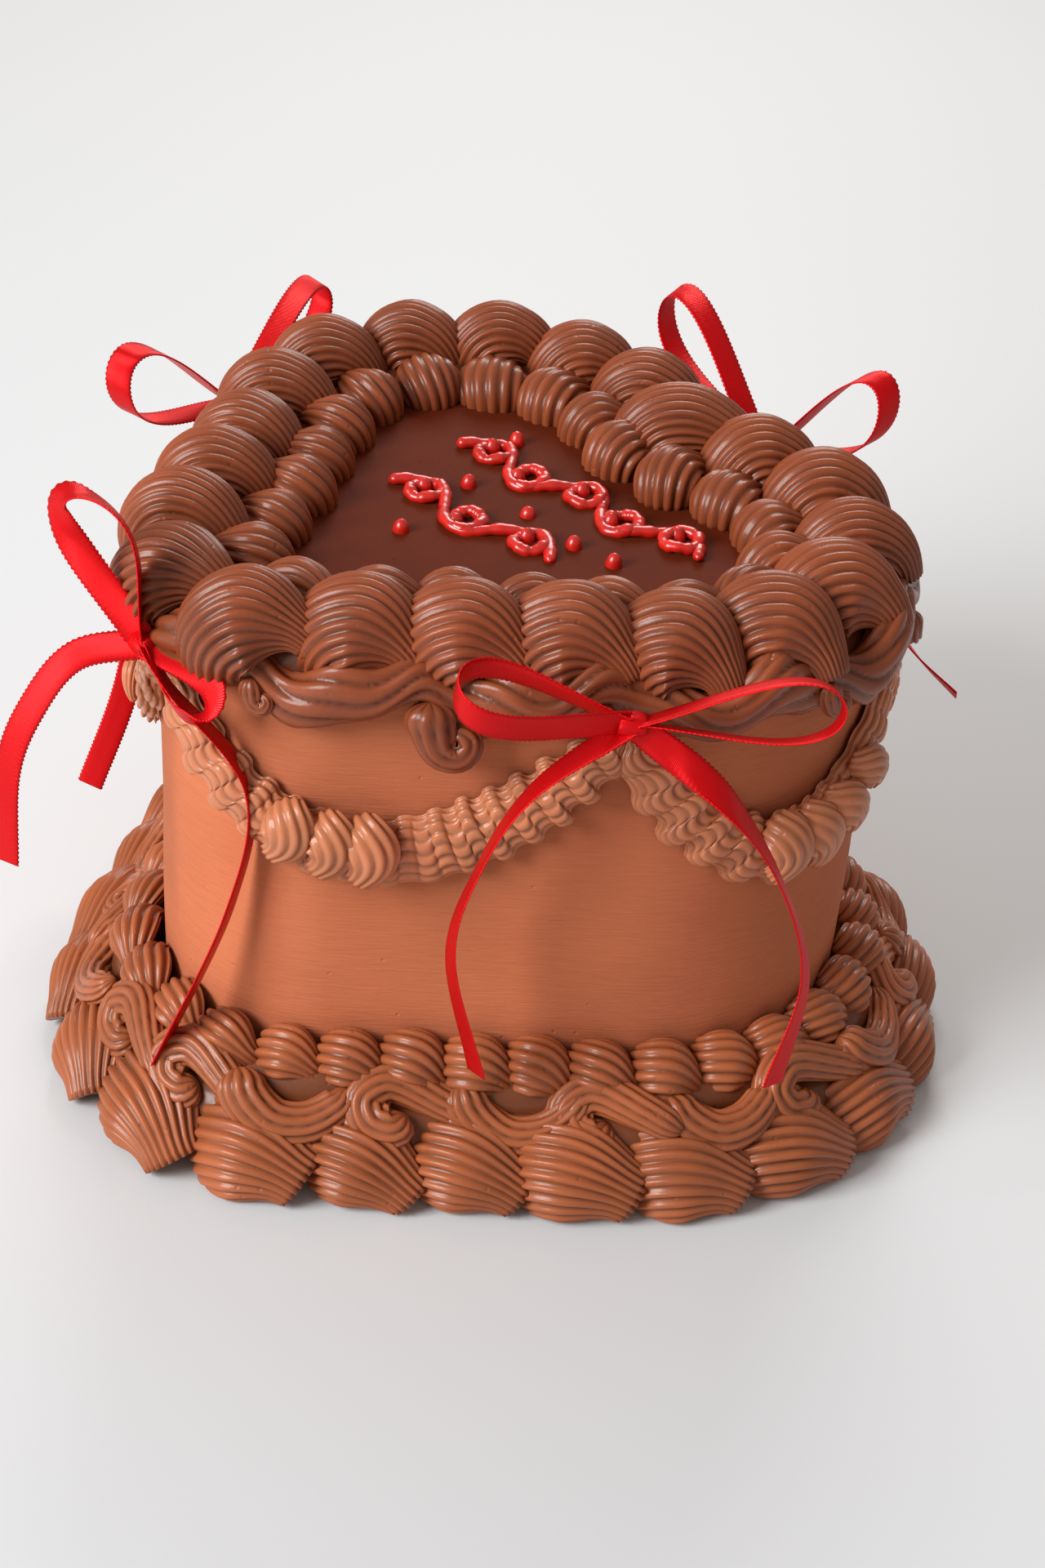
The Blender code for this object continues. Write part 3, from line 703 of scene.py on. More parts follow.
def settle(grid):
    """The same points, set down on the floor. A height under 2 mm becomes 2 mm times e to the power of its
    distance below 2 mm, counted in steps of 2 mm and negative, so the foot is flat and stays above 0."""
    soft = 0.002
    height = grid[..., 2]
    low = soft * np.exp(np.minimum(height - soft, 0.0) / soft)
    return np.concatenate([grid[..., :2], np.where(height < soft, low, height)[..., None]], -1)


def node_of(tree, kind, **values):
    """A shader node with its sockets or settings given by name."""
    made = tree.nodes.new(kind)
    for name, value in values.items():
        if name in made.inputs:
            made.inputs[name].default_value = value
        else:
            setattr(made, name, value)
    return made


def ramp(tree, source, stops):
    """A colour ramp over a value, from (place, colour) stops."""
    made = tree.nodes.new("ShaderNodeValToRGB")
    tree.links.new(source, made.inputs["Fac"])
    for i, (place, colour) in enumerate(stops):
        stop = made.color_ramp.elements[i] if i < 2 else made.color_ramp.elements.new(place)
        stop.position = place
        stop.color = (*colour, 1.0)
    return made.outputs["Color"]


def shade(colour, share):
    """A colour scaled and kept below 1."""
    return tuple(min(1.0, part * share) for part in colour)


def start_material(name, roughness):
    """A new material with its tree, its Principled shader and Object coordinates."""
    made = bpy.data.materials.new(name)
    made.use_nodes = True
    tree = made.node_tree
    shader = tree.nodes["Principled BSDF"]
    shader.inputs["Roughness"].default_value = roughness
    return made, tree, shader, tree.nodes.new("ShaderNodeTexCoord").outputs["Object"]


def noise_of(tree, place, scale, detail, roughness=0.5):
    """Noise over coordinates, from 0 to 1."""
    made = node_of(tree, "ShaderNodeTexNoise", Scale=scale, Detail=detail, Roughness=roughness)
    tree.links.new(place, made.inputs["Vector"])
    return made.outputs["Fac"]


def pits_of(tree, place, scale, start, end):
    """Air bubbles: 0 round each cell's middle, rising to 1 between the distances start and end from it."""
    cells = node_of(tree, "ShaderNodeTexVoronoi", Scale=scale)
    tree.links.new(place, cells.inputs["Vector"])
    return ramp(tree, cells.outputs["Distance"], [(start, (0.0, 0.0, 0.0)), (end, (1.0, 1.0, 1.0))])


def span_of(tree, source, top, low, high):
    """A value that runs from low to high while the source runs from 0 to top."""
    made = node_of(tree, "ShaderNodeMapRange", **{"From Max": top, "To Min": low, "To Max": high})
    tree.links.new(source, made.inputs["Value"])
    return made.outputs["Result"]


def math_of(tree, operation, *terms):
    """A Math node over its terms, which are sockets or numbers."""
    made = node_of(tree, "ShaderNodeMath", operation=operation)
    for socket, term in zip(made.inputs, terms):
        if isinstance(term, bpy.types.NodeSocket):
            tree.links.new(term, socket)
        else:
            socket.default_value = term
    return made.outputs["Value"]


def add_bumps(tree, shader, layers):
    """Bumps laid over one another, from (height, strength, distance) layers."""
    normal = None
    for height, strength, distance in layers:
        made = node_of(tree, "ShaderNodeBump", Strength=strength, Distance=distance)
        tree.links.new(height, made.inputs["Height"])
        if normal is not None:
            tree.links.new(normal, made.inputs["Normal"])
        normal = made.outputs["Normal"]
    tree.links.new(normal, shader.inputs["Normal"])


def finish_shader(shader, values):
    """Sets the shader's sockets by name."""
    for name, value in values.items():
        shader.inputs[name].default_value = value


def icing_material(name, colour, roughness, coat, groove_shade):
    """Piped buttercream: blotches of richer and paler brown, grooves darkened with painted shade down to the
    given share, a fine grain and air bubbles."""
    made, tree, shader, place = start_material(name, roughness)
    blotch = noise_of(tree, place, 55.0, 3.0)
    tone = ramp(tree, blotch, [(0.30, shade(colour, 0.84)), (0.70, shade(colour, 1.16))])
    # Painted shade: where the ridge value falls towards a groove, the colour is darkened, down to the given
    # share at the groove's floor.
    ridge = node_of(tree, "ShaderNodeAttribute", attribute_name="ridge")
    darken = node_of(tree, "ShaderNodeVectorMath", operation="SCALE")
    tree.links.new(tone, darken.inputs[0])
    tree.links.new(span_of(tree, ridge.outputs["Fac"], 0.75, groove_shade, 1.0), darken.inputs["Scale"])
    tree.links.new(darken.outputs["Vector"], shader.inputs["Base Color"])
    grain = noise_of(tree, place, 900.0, 4.0)
    uneven = span_of(tree, grain, 1.0, roughness - 0.10, roughness + 0.12)
    tree.links.new(uneven, shader.inputs["Roughness"])
    pits = pits_of(tree, place, 210.0, 0.05, 0.13)
    add_bumps(tree, shader, [(pits, 0.5, 0.00025), (grain, 0.35, 0.00016)])
    finish_shader(shader, {
        "Specular IOR Level": 0.22,
        "Coat Weight": coat,
        "Coat Roughness": 0.16,
        "Subsurface Weight": 0.08,
        "Subsurface Radius": (0.9, 0.35, 0.2),
        "Subsurface Scale": 0.002,
    })
    return made


def coat_material(name, wall_colour, shaded_top_colour):
    """Smoothed buttercream: level scraper marks, specks and a few pits, and a top painted darker and richer,
    as painted shade.

    The ridge attribute is 1 on the wall and falls to 0 over the plateau.
    """
    made, tree, shader, place = start_material(name, 0.58)
    stretch = node_of(tree, "ShaderNodeMapping", Scale=(1.0, 1.0, 14.0))
    tree.links.new(place, stretch.inputs["Vector"])
    streak = noise_of(tree, stretch.outputs["Vector"], 120.0, 6.0, 0.65)
    marbled = math_of(tree, "MULTIPLY_ADD", streak, 0.45, noise_of(tree, place, 16.0, 2.0))
    wall_tone = ramp(tree, marbled, [(0.45, shade(wall_colour, 0.82)), (1.0, shade(wall_colour, 1.18))])
    shaded_top_tone = ramp(tree, marbled, [(0.45, shade(shaded_top_colour, 0.82)), (1.0, shade(shaded_top_colour, 1.20))])
    # Painted shade: where the ridge attribute falls to 0 over the plateau, the darker top colour takes over.
    where = node_of(tree, "ShaderNodeAttribute", attribute_name="ridge")
    both = node_of(tree, "ShaderNodeMix", data_type="RGBA")
    tree.links.new(where.outputs["Fac"], both.inputs["Factor"])
    tree.links.new(shaded_top_tone, both.inputs["A"])
    tree.links.new(wall_tone, both.inputs["B"])
    tree.links.new(both.outputs["Result"], shader.inputs["Base Color"])
    pits = pits_of(tree, place, 150.0, 0.03, 0.08)
    specks = noise_of(tree, place, 1500.0, 2.0)
    add_bumps(tree, shader, [(pits, 0.5, 0.0003), (streak, 0.45, 0.0005), (specks, 0.20, 0.00012)])
    finish_shader(shader, {
        "Specular IOR Level": 0.03,
        "Subsurface Weight": 0.10,
        "Subsurface Radius": (0.9, 0.35, 0.2),
        "Subsurface Scale": 0.003,
    })
    return made


def red_icing_material(name, colour):
    """Red piping gel: glossy, a little see-through, with small changes of depth."""
    made, tree, shader, place = start_material(name, 0.30)
    blotch = noise_of(tree, place, 240.0, 3.0)
    tone = ramp(tree, blotch, [(0.30, shade(colour, 0.78)), (0.72, shade(colour, 1.15))])
    tree.links.new(tone, shader.inputs["Base Color"])
    add_bumps(tree, shader, [(blotch, 0.4, 0.0002)])
    finish_shader(shader, {
        "Subsurface Weight": 0.15,
        "Subsurface Radius": (1.0, 0.2, 0.1),
        "Subsurface Scale": 0.0015,
        "Coat Weight": 0.35,
        "Coat Roughness": 0.15,
    })
    return made


def satin_material(name, colour):
    """Satin ribbon: fine ribs across it, woven edges, and a soft sheen. U runs along the ribbon in
    millimetres and V across it from 0 to 1. The ribs are a sine of U + 1.6 V, 0.34 mm apart."""
    made, tree, shader, _ = start_material(name, 0.34)
    uv = node_of(tree, "ShaderNodeUVMap", uv_map="UVMap")
    split = tree.nodes.new("ShaderNodeSeparateXYZ")
    tree.links.new(uv.outputs["UV"], split.inputs["Vector"])
    along, over = split.outputs["X"], split.outputs["Y"]
    slant = math_of(tree, "MULTIPLY_ADD", over, 1.6, along)
    rib = math_of(tree, "SINE", math_of(tree, "MULTIPLY", slant, 2.0 * math.pi / 0.34))
    edge = math_of(tree, "ABSOLUTE", math_of(tree, "SUBTRACT", over, 0.5))
    tones = [(0.38, shade(colour, 1.0)), (0.42, shade(colour, 0.72)), (0.47, shade(colour, 1.20))]
    tree.links.new(ramp(tree, edge, tones), shader.inputs["Base Color"])
    add_bumps(tree, shader, [(rib, 0.35, 0.00008)])
    finish_shader(shader, {
        "Specular Tint": (1.0, 0.30, 0.28, 1.0),
        "Specular IOR Level": 0.6,
        "Metallic": 0.45,
        "Anisotropic": 0.5,
    })
    return made


class HEARTCAKE_OT_coat(bpy.types.Operator):
    """Adds the cake's smoothed coat: wall, rounded rim and plateau"""

    bl_idname = "heartcake.coat"
    bl_label = "Smoothed Coat"

    def execute(self, context):
        """The profile runs from the middle of the bottom out to the wall, up it, over a rounded rim and
        back in over the top. Each profile point is a share of the outline and a height. The wall waves by a
        tenth of a millimetre, as a scraper leaves it."""
        settings = context.scene.heart_cake
        wall, height = HeartWall(settings.shape), settings.shape.height
        stations, _ = wall.even(0.0, 420, 0.0)
        rim = 0.0025
        below, beside, over, above = 10, 44, 6, 40
        bend = np.linspace(0.0, 0.5 * np.pi, over)
        share = [np.linspace(0.04, 0.98, below), np.ones(beside + over), np.linspace(0.985, 0.02, above)]
        inset = [np.zeros(below + beside), rim * (1.0 - np.cos(bend)), np.full(above, rim)]
        level = [np.zeros(below), np.linspace(0.0, height - rim - 0.001, beside)]
        level += [height - rim + rim * np.sin(bend), np.full(above, height)]
        share, inset, level = (np.concatenate(rings) for rings in (share, inset, level))
        outline = wall.place(stations, 0.0, 0.0)[:, :2]
        _, normal = wall.outline(stations)
        flat = share[:, None, None] * (outline[None] - inset[:, None, None] * normal[None])
        on_wall = ((level > 0.004) & (share > 0.999))[:, None]
        turn = 2.0 * np.pi * stations[None, :]
        climb = level[:, None]
        wave = np.sin(7.0 * turn + 90.0 * climb) + 0.6 * np.sin(13.0 * turn - 160.0 * climb)
        flat = flat + (on_wall * wave * 0.00010)[..., None] * normal[None]
        swirl = 0.00012 * np.sin(110.0 * flat[..., 0] + 60.0 * flat[..., 1]) * (share < 0.97)[:, None]
        on_top = (level >= height)[:, None]
        grid = np.concatenate([flat, (climb + on_top * swirl)[..., None]], -1)
        # Painted shade: 0 over the top, which the material paints in the darker plateau colour, and 1
        # elsewhere.
        top_shade_mask = np.broadcast_to(np.where(level >= height - 0.0005, 0.0, 1.0)[:, None], grid.shape[:2])
        skin = Skin()
        skin.add(grid, top_shade_mask)
        icing = coat_material("smoothed_icing", settings.colours.coat, settings.colours.plateau)
        skin.build("smoothed_coat", icing, "wall_icing", "cake_body")
        return {"FINISHED"}


class HEARTCAKE_OT_flourish(bpy.types.Operator):
    """Adds the red piped flourish: two vines with curls, and drops"""

    bl_idname = "heartcake.flourish"
    bl_label = "Red Flourish"

    def execute(self, context):
        """A vine is a sine wave along its line. From each of its crests a curl springs on and winds inwards
        by a little under one turn while its radius shrinks to a half, and a bead ends it."""
        settings = context.scene.heart_cake
        radius, level = settings.piping.line_radius, settings.shape.height
        strokes, beads = [], list(DROPS)
        for start, end, tall, waves in VINES:
            start, end = np.array(start), np.array(end)
            length = float(np.linalg.norm(end - start))
            ahead = (end - start) / length
            aside = np.array([-ahead[1], ahead[0]])
            t = np.linspace(-0.02, 1.02, int(60 * waves))[:, None]
            strokes.append(start + ahead * length * t + aside * tall * np.sin(2.0 * np.pi * waves * t))
            for k in range(int(2 * waves)):
                side = 1.0 if k % 2 == 0 else -1.0
                reach = 0.78 * tall
                middle = start + ahead * length * (k + 0.5) / (2 * waves) + aside * side * (tall - reach)
                turn = np.linspace(0.0, 1.75 * np.pi, 50)[:, None]
                round_way = reach * (1.0 - 0.27 * turn / np.pi)
                strokes.append(middle + round_way * (np.sin(turn) * ahead + side * np.cos(turn) * aside))
                beads.append(tuple(strokes[-1][-1]))
        skin = Skin()
        for i, stroke in enumerate(strokes):
            path, _ = even_path(stroke, len(stroke))
            step = np.arange(len(path))
            lift = (0.00018 * i) % 0.0005
            rise = 0.55 * radius + 0.00035 * np.sin(0.35 * step + i) + lift
            path = np.concatenate([path, (level + rise)[:, None]], 1)
            thick = radius * (1.0 + 0.10 * np.sin(0.55 * step + 2.0 * i) + 0.06 * np.sin(1.3 * step))
            thick = round_ends(thick, path, 1.2 * radius)
            grid, _ = rope_grid(path, thick, ridges=4, groove=0.0, samples=3, up=(0.0, 0.0, 1.0), flat=0.92)
            skin.add(grid)
        rings = 12
        for i, (x, y) in enumerate(beads):
            tall = radius * (1.9 + 0.3 * hand(i, 1))
            lean = 0.0006 * hand(i, 2) * np.linspace(0.0, 1.0, rings) ** 2
            rise = level + np.linspace(-0.3 * radius, tall, rings)
            path = np.stack([x + lean, np.full(rings, y), rise], -1)
            bulge = 1.35 * radius * np.sqrt(np.clip(1.0 - np.linspace(-0.1, 1.0, rings) ** 2, 0.004, 1.0))
            grid, _ = rope_grid(path, bulge, ridges=4, groove=0.0, samples=4, up=(0.0, 1.0, 0.01))
            skin.add(grid)
        icing = red_icing_material("red_icing", settings.colours.red)
        skin.build("red_flourish", icing, "red_satin", "cake_body")
        return {"FINISHED"}


class HEARTCAKE_OT_top_border(bpy.types.Operator):
    """Adds the top border: edge shells, inner shells and the ruffle below them"""

    bl_idname = "heartcake.top_border"
    bl_label = "Top Border"

    def execute(self, context):
        """The edge shells were all piped with the same stroke of the hand, so their heading is the same in
        the world. Only along the heart's right side does it follow the border: there they are long and bend
        over the rim, and elsewhere they are round domes. The inner shells lie along the right side and turn
        their heads to the plateau elsewhere. The ruffle waves along the rim, and drips curl out of it."""
        settings = context.scene.heart_cake
        wall, height, piping = HeartWall(settings.shape), settings.shape.height, settings.piping
        icing = icing_material("edge_icing", settings.colours.shell, roughness=0.38, coat=0.20, groove_shade=0.34)
        edge = Skin()
        stations, _ = wall.even(-0.0085, piping.outer_shells, 0.62)
        for i, station in enumerate(stations):
            off = wall.heading(station) - STROKE
            front = float(ease((math.cos(off) + 0.1) / 0.9))
            size = tuple(EDGE_DOME + (EDGE_LONG - EDGE_DOME) * front)
            if abs(station - 0.5) < 0.03:
                size = (size[0], 0.0140, size[2], size[3])
            left = float(ease(math.sin(off) * -1.2))
            spot = (-0.0085 + 0.0045 * left, height - 0.0010, math.radians(6.0 + 16.0 * front), off)
            turn = (-0.15 - 0.20 * front, 0.35 + 0.35 * front)
            fall, tail = 1.25 - 0.45 * front, 0.5 - 0.16 * front
            add_shell(edge, wall, station, spot, size, 27, piping.groove, turn, fall, tail, index=i)
        for out, below, wide, tall in EDGE_CORES:
            core = wall.place(np.arange(240) / 240, out, height - below)
            grid, wave = hoop_grid(core, wide, tall, ridges=6, groove=0.10, samples=3)
            edge.add(grid, EDGE_CORE_LIGHT * wave, hoop=True)
        edge.build("edge_shells", icing, "chocolate_icing", "top_border")
        inner = Skin()
        stations, _ = wall.even(-0.0245, piping.inner_shells, 0.40)
        for i, station in enumerate(stations):
            off = wall.heading(station) - STROKE
            radial = float(ease((0.75 - math.cos(off)) / 0.8))
            left = float(ease(math.sin(off) * -1.2))
            size = (0.0038, 0.0060 - 0.0015 * radial, 0.0074 + 0.0016 * radial, 0.0070 + 0.0004 * radial)
            spot = (-0.0238 + 0.0040 * left, height - 0.0010, math.radians(-6.0), 0.5 * math.pi * radial)
            add_shell(
                inner, wall, station, spot, size, ridges=16, groove=1.3 * piping.groove,
                turn=(-0.2, 0.4), fall=0.9, tail=0.5, index=50 + i, rows=22,
            )
        inner.build("inner_shells", icing, "chocolate_icing", "top_border")
        ruffle = Skin()
        turn = 2.0 * np.pi * np.arange(900) / 900
        rise = 0.0026 * np.sin(13.0 * turn) + 0.0012 * np.sin(29.0 * turn + 1.0)
        out = 0.0026 + 0.0014 * np.cos(13.0 * turn)
        path = wall.place(turn / (2.0 * np.pi), out, height - 0.0030 + rise)
        tall = 0.0064 + 0.0012 * np.sin(17.0 * turn)
        sway = 0.6 * np.sin(13.0 * turn + 1.2)
        grid, wave = hoop_grid(path, 0.0048, tall, ridges=8, groove=0.22, samples=6, sway=sway)
        ruffle.add(grid, wave, hoop=True)
        steps = 46
        for i in range(DRIPS):
            station = BIG_DRIP + i / DRIPS + 0.012 * hand(i, 31) * (i > 0)
            grow = 1.15 if i == 0 else 0.70 + 0.12 * hand(i, 32)
            flat, _ = even_path(spline(np.array(DRIP) * grow * MM, 60), steps)
            drop = 0.0060 if i == 0 else 0.0012 + 0.0012 * hand(i, 33)
            local = np.stack([flat[:, 0], np.full(steps, 0.0016), flat[:, 1]], -1)
            path = wall.seat(local, station, 0.0044, height - 0.0045 - drop, math.radians(-8.0))
            taper = 0.0054 * grow * (1.0 - 0.48 * np.linspace(0.0, 1.0, steps))
            thick = round_ends(taper, path, 0.004)
            _, normal = wall.outline(station)
            facing = (normal[0], normal[1], 0.3)
            ruffle.add(*rope_grid(path, thick, 9, 0.22, samples=4, up=facing, flat=0.8, twist=0.1))
        ruffle.build("drip_ruffle", icing, "chocolate_icing", "top_border")
        return {"FINISHED"}


class HEARTCAKE_OT_base_border(bpy.types.Operator):
    """Adds the base border: floor shells, scrolls and wall shells"""

    bl_idname = "heartcake.base_border"
    bl_label = "Base Border"

    def execute(self, context):
        """Two rows of shells lean out from the wall. Scrolls lie between them: every second one starts in a
        small curl and sweeps on, and the others hang in a U. Cores close the gaps behind them."""
        settings = context.scene.heart_cake
        wall, piping = HeartWall(settings.shape), settings.piping
        icing = icing_material("base_icing", settings.colours.foot, roughness=0.40, coat=0.22, groove_shade=0.34)
        low = Skin()
        stations, _ = wall.even(0.0125, piping.lower_shells, 0.45)
        for i, station in enumerate(stations):
            spot = (0.0125, 0.0030, math.radians(48.0), 0.10)
            add_shell(
                low, wall, station, spot, FLOOR_SHELL, ridges=27, groove=piping.groove * 1.25,
                turn=(-0.15, 0.40), fall=0.45, tail=0.60, index=100 + i,
            )
        core = wall.place(np.arange(240) / 240, 0.0100, 0.0100)
        grid, wave = hoop_grid(core, wide=0.0088, tall=0.0092, ridges=6, groove=0.10, samples=3)
        low.add(grid, BASE_CORE_LIGHT * wave, hoop=True)
        low.build("floor_shells", icing, "chocolate_icing", "base_border")
        high = Skin()
        stations, _ = wall.even(0.0035, piping.upper_shells, 0.30)
        for i, station in enumerate(stations):
            spot = (0.0026, 0.0238, math.radians(58.0), 0.10)
            add_shell(
                high, wall, station, spot, WALL_SHELL, ridges=15, groove=piping.groove * 1.6,
                turn=(-0.20, 0.55), fall=0.9, tail=0.45, index=150 + i, rows=22,
            )
        high.build("wall_shells", icing, "chocolate_icing", "base_border")
        scrolls = Skin()
        core = wall.place(np.arange(240) / 240, 0.0062, 0.0190)
        grid, wave = hoop_grid(core, wide=0.0066, tall=0.0062, ridges=6, groove=0.10, samples=3)
        scrolls.add(grid, BASE_CORE_LIGHT * wave, hoop=True)
        stations, pitch = wall.even(0.0125, piping.scrolls, 0.70)
        steps = 48
        for i, station in enumerate(stations):
            points = np.array(CURL if i % 2 == 0 else HANG) * (1.0 + 0.08 * hand(i, 41))
            flat, _ = even_path(spline(points * pitch, 60), steps)
            step = np.linspace(0.0, 1.0, steps)
            local = np.stack([flat[:, 0], -flat[:, 1], 0.0012 + 0.0014 * np.sin(4.0 * step + i)], -1)
            moved = station + 0.10 * pitch * hand(i, 42) / wall.length
            path = wall.seat(local, moved, out=0.0132, height=0.0190, roll=math.radians(50.0))
            thick = 0.0056 * (1.0 + 0.06 * hand(i, 43)) * (1.0 - 0.35 * step**2)
            thick = round_ends(thick, path, 0.005)
            _, normal = wall.outline(station)
            facing = (normal[0], normal[1], 0.8)
            scrolls.add(*rope_grid(path, thick, 11, 0.24, samples=5, up=facing, flat=0.78, twist=0.15))
        scrolls.build("base_scrolls", icing, "chocolate_icing", "base_border")
        return {"FINISHED"}


def sag_of(share):
    """How far a swag has sunk at each share of its span, from 0 at its ends to 1 in the middle: a parabola
    to the power of 1.15."""
    return (4.0 * share * (1.0 - share)) ** 1.15


def swag_grid(wall, first, last, top, drop, ridges, groove, index):
    """A swag and its ridge values: a wide ridged band on a sagging line, ruffled from end to end.

    Its middle line lies on the wall and sags by drop. Its section is an ellipse round which the ridges run.
    Ruffling moves every point up and down by a cosine of its turn and back and forth by a sine of twice
    that turn, so the ridges meander with round bends and steep flanks. The band bulges at each bend.
    """
    span = (last - first) * wall.length
    folds = max(6, round(span / 0.0066))
    share = np.linspace(0.0, 1.0, 20 * folds)
    sag = sag_of(share)
    middle = np.stack([span * share, top - drop * sag], -1)
    ahead = unit(np.gradient(middle, axis=0))
    aside = np.stack([-ahead[:, 1], ahead[:, 0]], -1)
    turn = 2.0 * np.pi * folds * share
    turn = turn + 1.6 * np.sin(5.0 * share + index) + 1.1 * np.sin(13.0 * share + 2.0 * index)
    angle = crown_angles(ridges, 5, 1.9)
    wave = np.broadcast_to(ridge_wave(angle, ridges), (len(share), len(angle)))
    near = np.minimum(share, 1.0 - share) * span / 0.007
    close = np.sqrt(np.clip(1.0 - np.clip(1.0 - near, 0.0, 1.0) ** 2, 0.02, 1.0))
    mood = 0.5 + 0.5 * np.cos(6.0 * share - 1.2 * (index - 1))
    half = (0.0056 + 0.0030 * sag + 0.0006 * np.sin(9.0 * share + index)) * close
    thick = (0.0036 + 0.0014 * sag) * close
    body = 1.0 - groove * (1.0 - wave)
    lean = turn[:, None] - 0.5 * np.sin(angle)[None, :]
    fold = 0.80 + 0.20 * np.abs(np.cos(lean)) ** 0.6
    gust = 1.0 + 0.25 * np.sin(0.37 * turn + index) + 0.15 * np.sin(0.83 * turn)
    swing = ((0.0010 + 0.0015 * mood) * gust * close)[:, None] * (1.0 - 0.5 * np.sin(angle)[None, :] ** 2)
    over = half[:, None] * np.sin(angle)[None, :] * body + swing * np.cos(lean)
    along = 0.34 * np.minimum(swing, 0.0024) * np.sin(2.0 * lean)
    flat = middle[:, None] + over[..., None] * aside[:, None] + along[..., None] * ahead[:, None]
    proud = np.cos(angle)[None, :]
    out = 0.0014 + thick[:, None] * proud * body * np.where(proud > 0.0, fold, 0.35)
    grid = wall.place(first + flat[..., 0] / wall.length, out, flat[..., 1])
    # The ridge values fall where the band folds in, so the material paints shade into the hollows between
    # the folds.
    return grid, wave * (0.6 + 0.4 * (fold - 0.80) / 0.20)


class HEARTCAKE_OT_swags(bpy.types.Operator):
    """Adds the hanging swags of ruffled icing"""

    bl_idname = "heartcake.swags"
    bl_label = "Swags"

    def execute(self, context):
        """Each swag hangs between two knots. Humps ride on it where the hand went to and fro: three in the
        middle of one, and up to six towards the far end of the next."""
        settings = context.scene.heart_cake
        wall, piping = HeartWall(settings.shape), settings.piping
        icing = icing_material("swag_icing", settings.colours.swag, roughness=0.38, coat=0.30, groove_shade=0.62)
        top, drop = piping.swag_top, piping.swag_drop
        for number, (first, last) in enumerate(zip(SWAG_ENDS[:-1], SWAG_ENDS[1:]), 1):
            skin = Skin()
            skin.add(*swag_grid(wall, first, last, top, drop, ridges=15, groove=0.16, index=number))
            span = (last - first) * wall.length
            start, most = (0.46, 6) if number % 2 == 0 else (0.34, 3)
            for k in range(most):
                share = start + k * 0.0080 / span
                if share > 0.82:
                    break
                sag = sag_of(share)
                slope = math.atan2(4.6 * drop * (2.0 * share - 1.0), span)
                grow = 0.86 + 0.30 * sag ** 3
                size = tuple(SWAG_HUMP * grow)
                level = top - drop * sag + 0.0030 * grow
                spot = (0.0032, level, 0.5 * math.pi, math.radians(66.0) - slope)
                station = first + (last - first) * share
                add_shell(
                    skin, wall, station, spot, size, ridges=13, groove=0.20,
                    turn=(-0.7, 0.9), fall=0.6, tail=0.55, index=200 + 10 * number + k, rows=22,
                )
            skin.build(f"swag_rope_{number}", icing, "swag_icing", f"swag_{number}")
        return {"FINISHED"}


def loop_path(reach, side, count):
    """A ribbon loop: a teardrop from the knot along reach and back, opened by side on its way."""
    turn = np.linspace(0.005, 0.995, count)[:, None]
    return np.sin(np.pi * turn) ** 0.8 * np.array(reach) + np.sin(2.0 * np.pi * turn) * np.array(side)


def ribbon_grid(path, across, ribbon):
    """A ribbon along a path whose width lies along across. Its section is a flat strip, pointed at both
    edges, and the edges wave in and out by the picot spacing. U is in millimetres and V is 0 to 1."""
    ahead = unit(np.gradient(path, axis=0))
    across = unit(across - ahead * (across * ahead).sum(1)[:, None])
    face = np.cross(ahead, across)
    run = run_of(path)
    picot = 0.00016 * np.sin(2.0 * np.pi * run / ribbon.picot)[:, None]
    place = np.array([-1.0, -0.86, -0.3, 0.3, 0.86, 1.0, 0.86, 0.3, -0.3, -0.86])
    height = np.array([0.0, 1.0, 1.0, 1.0, 1.0, 0.0, -1.0, -1.0, -1.0, -1.0])
    edge = (np.abs(place) > 0.9)[None, :] * np.sign(place)[None, :]
    wide = 0.5 * ribbon.width * place[None, :] + edge * picot
    thick = np.broadcast_to(0.5 * ribbon.thickness * height[None, :], wide.shape)
    grid = path[:, None] + wide[..., None] * across[:, None] + thick[..., None] * face[:, None]
    uv = np.stack(np.broadcast_arrays(run[:, None] / MM, 0.5 + 0.5 * place[None, :]), -1)
    return grid, uv


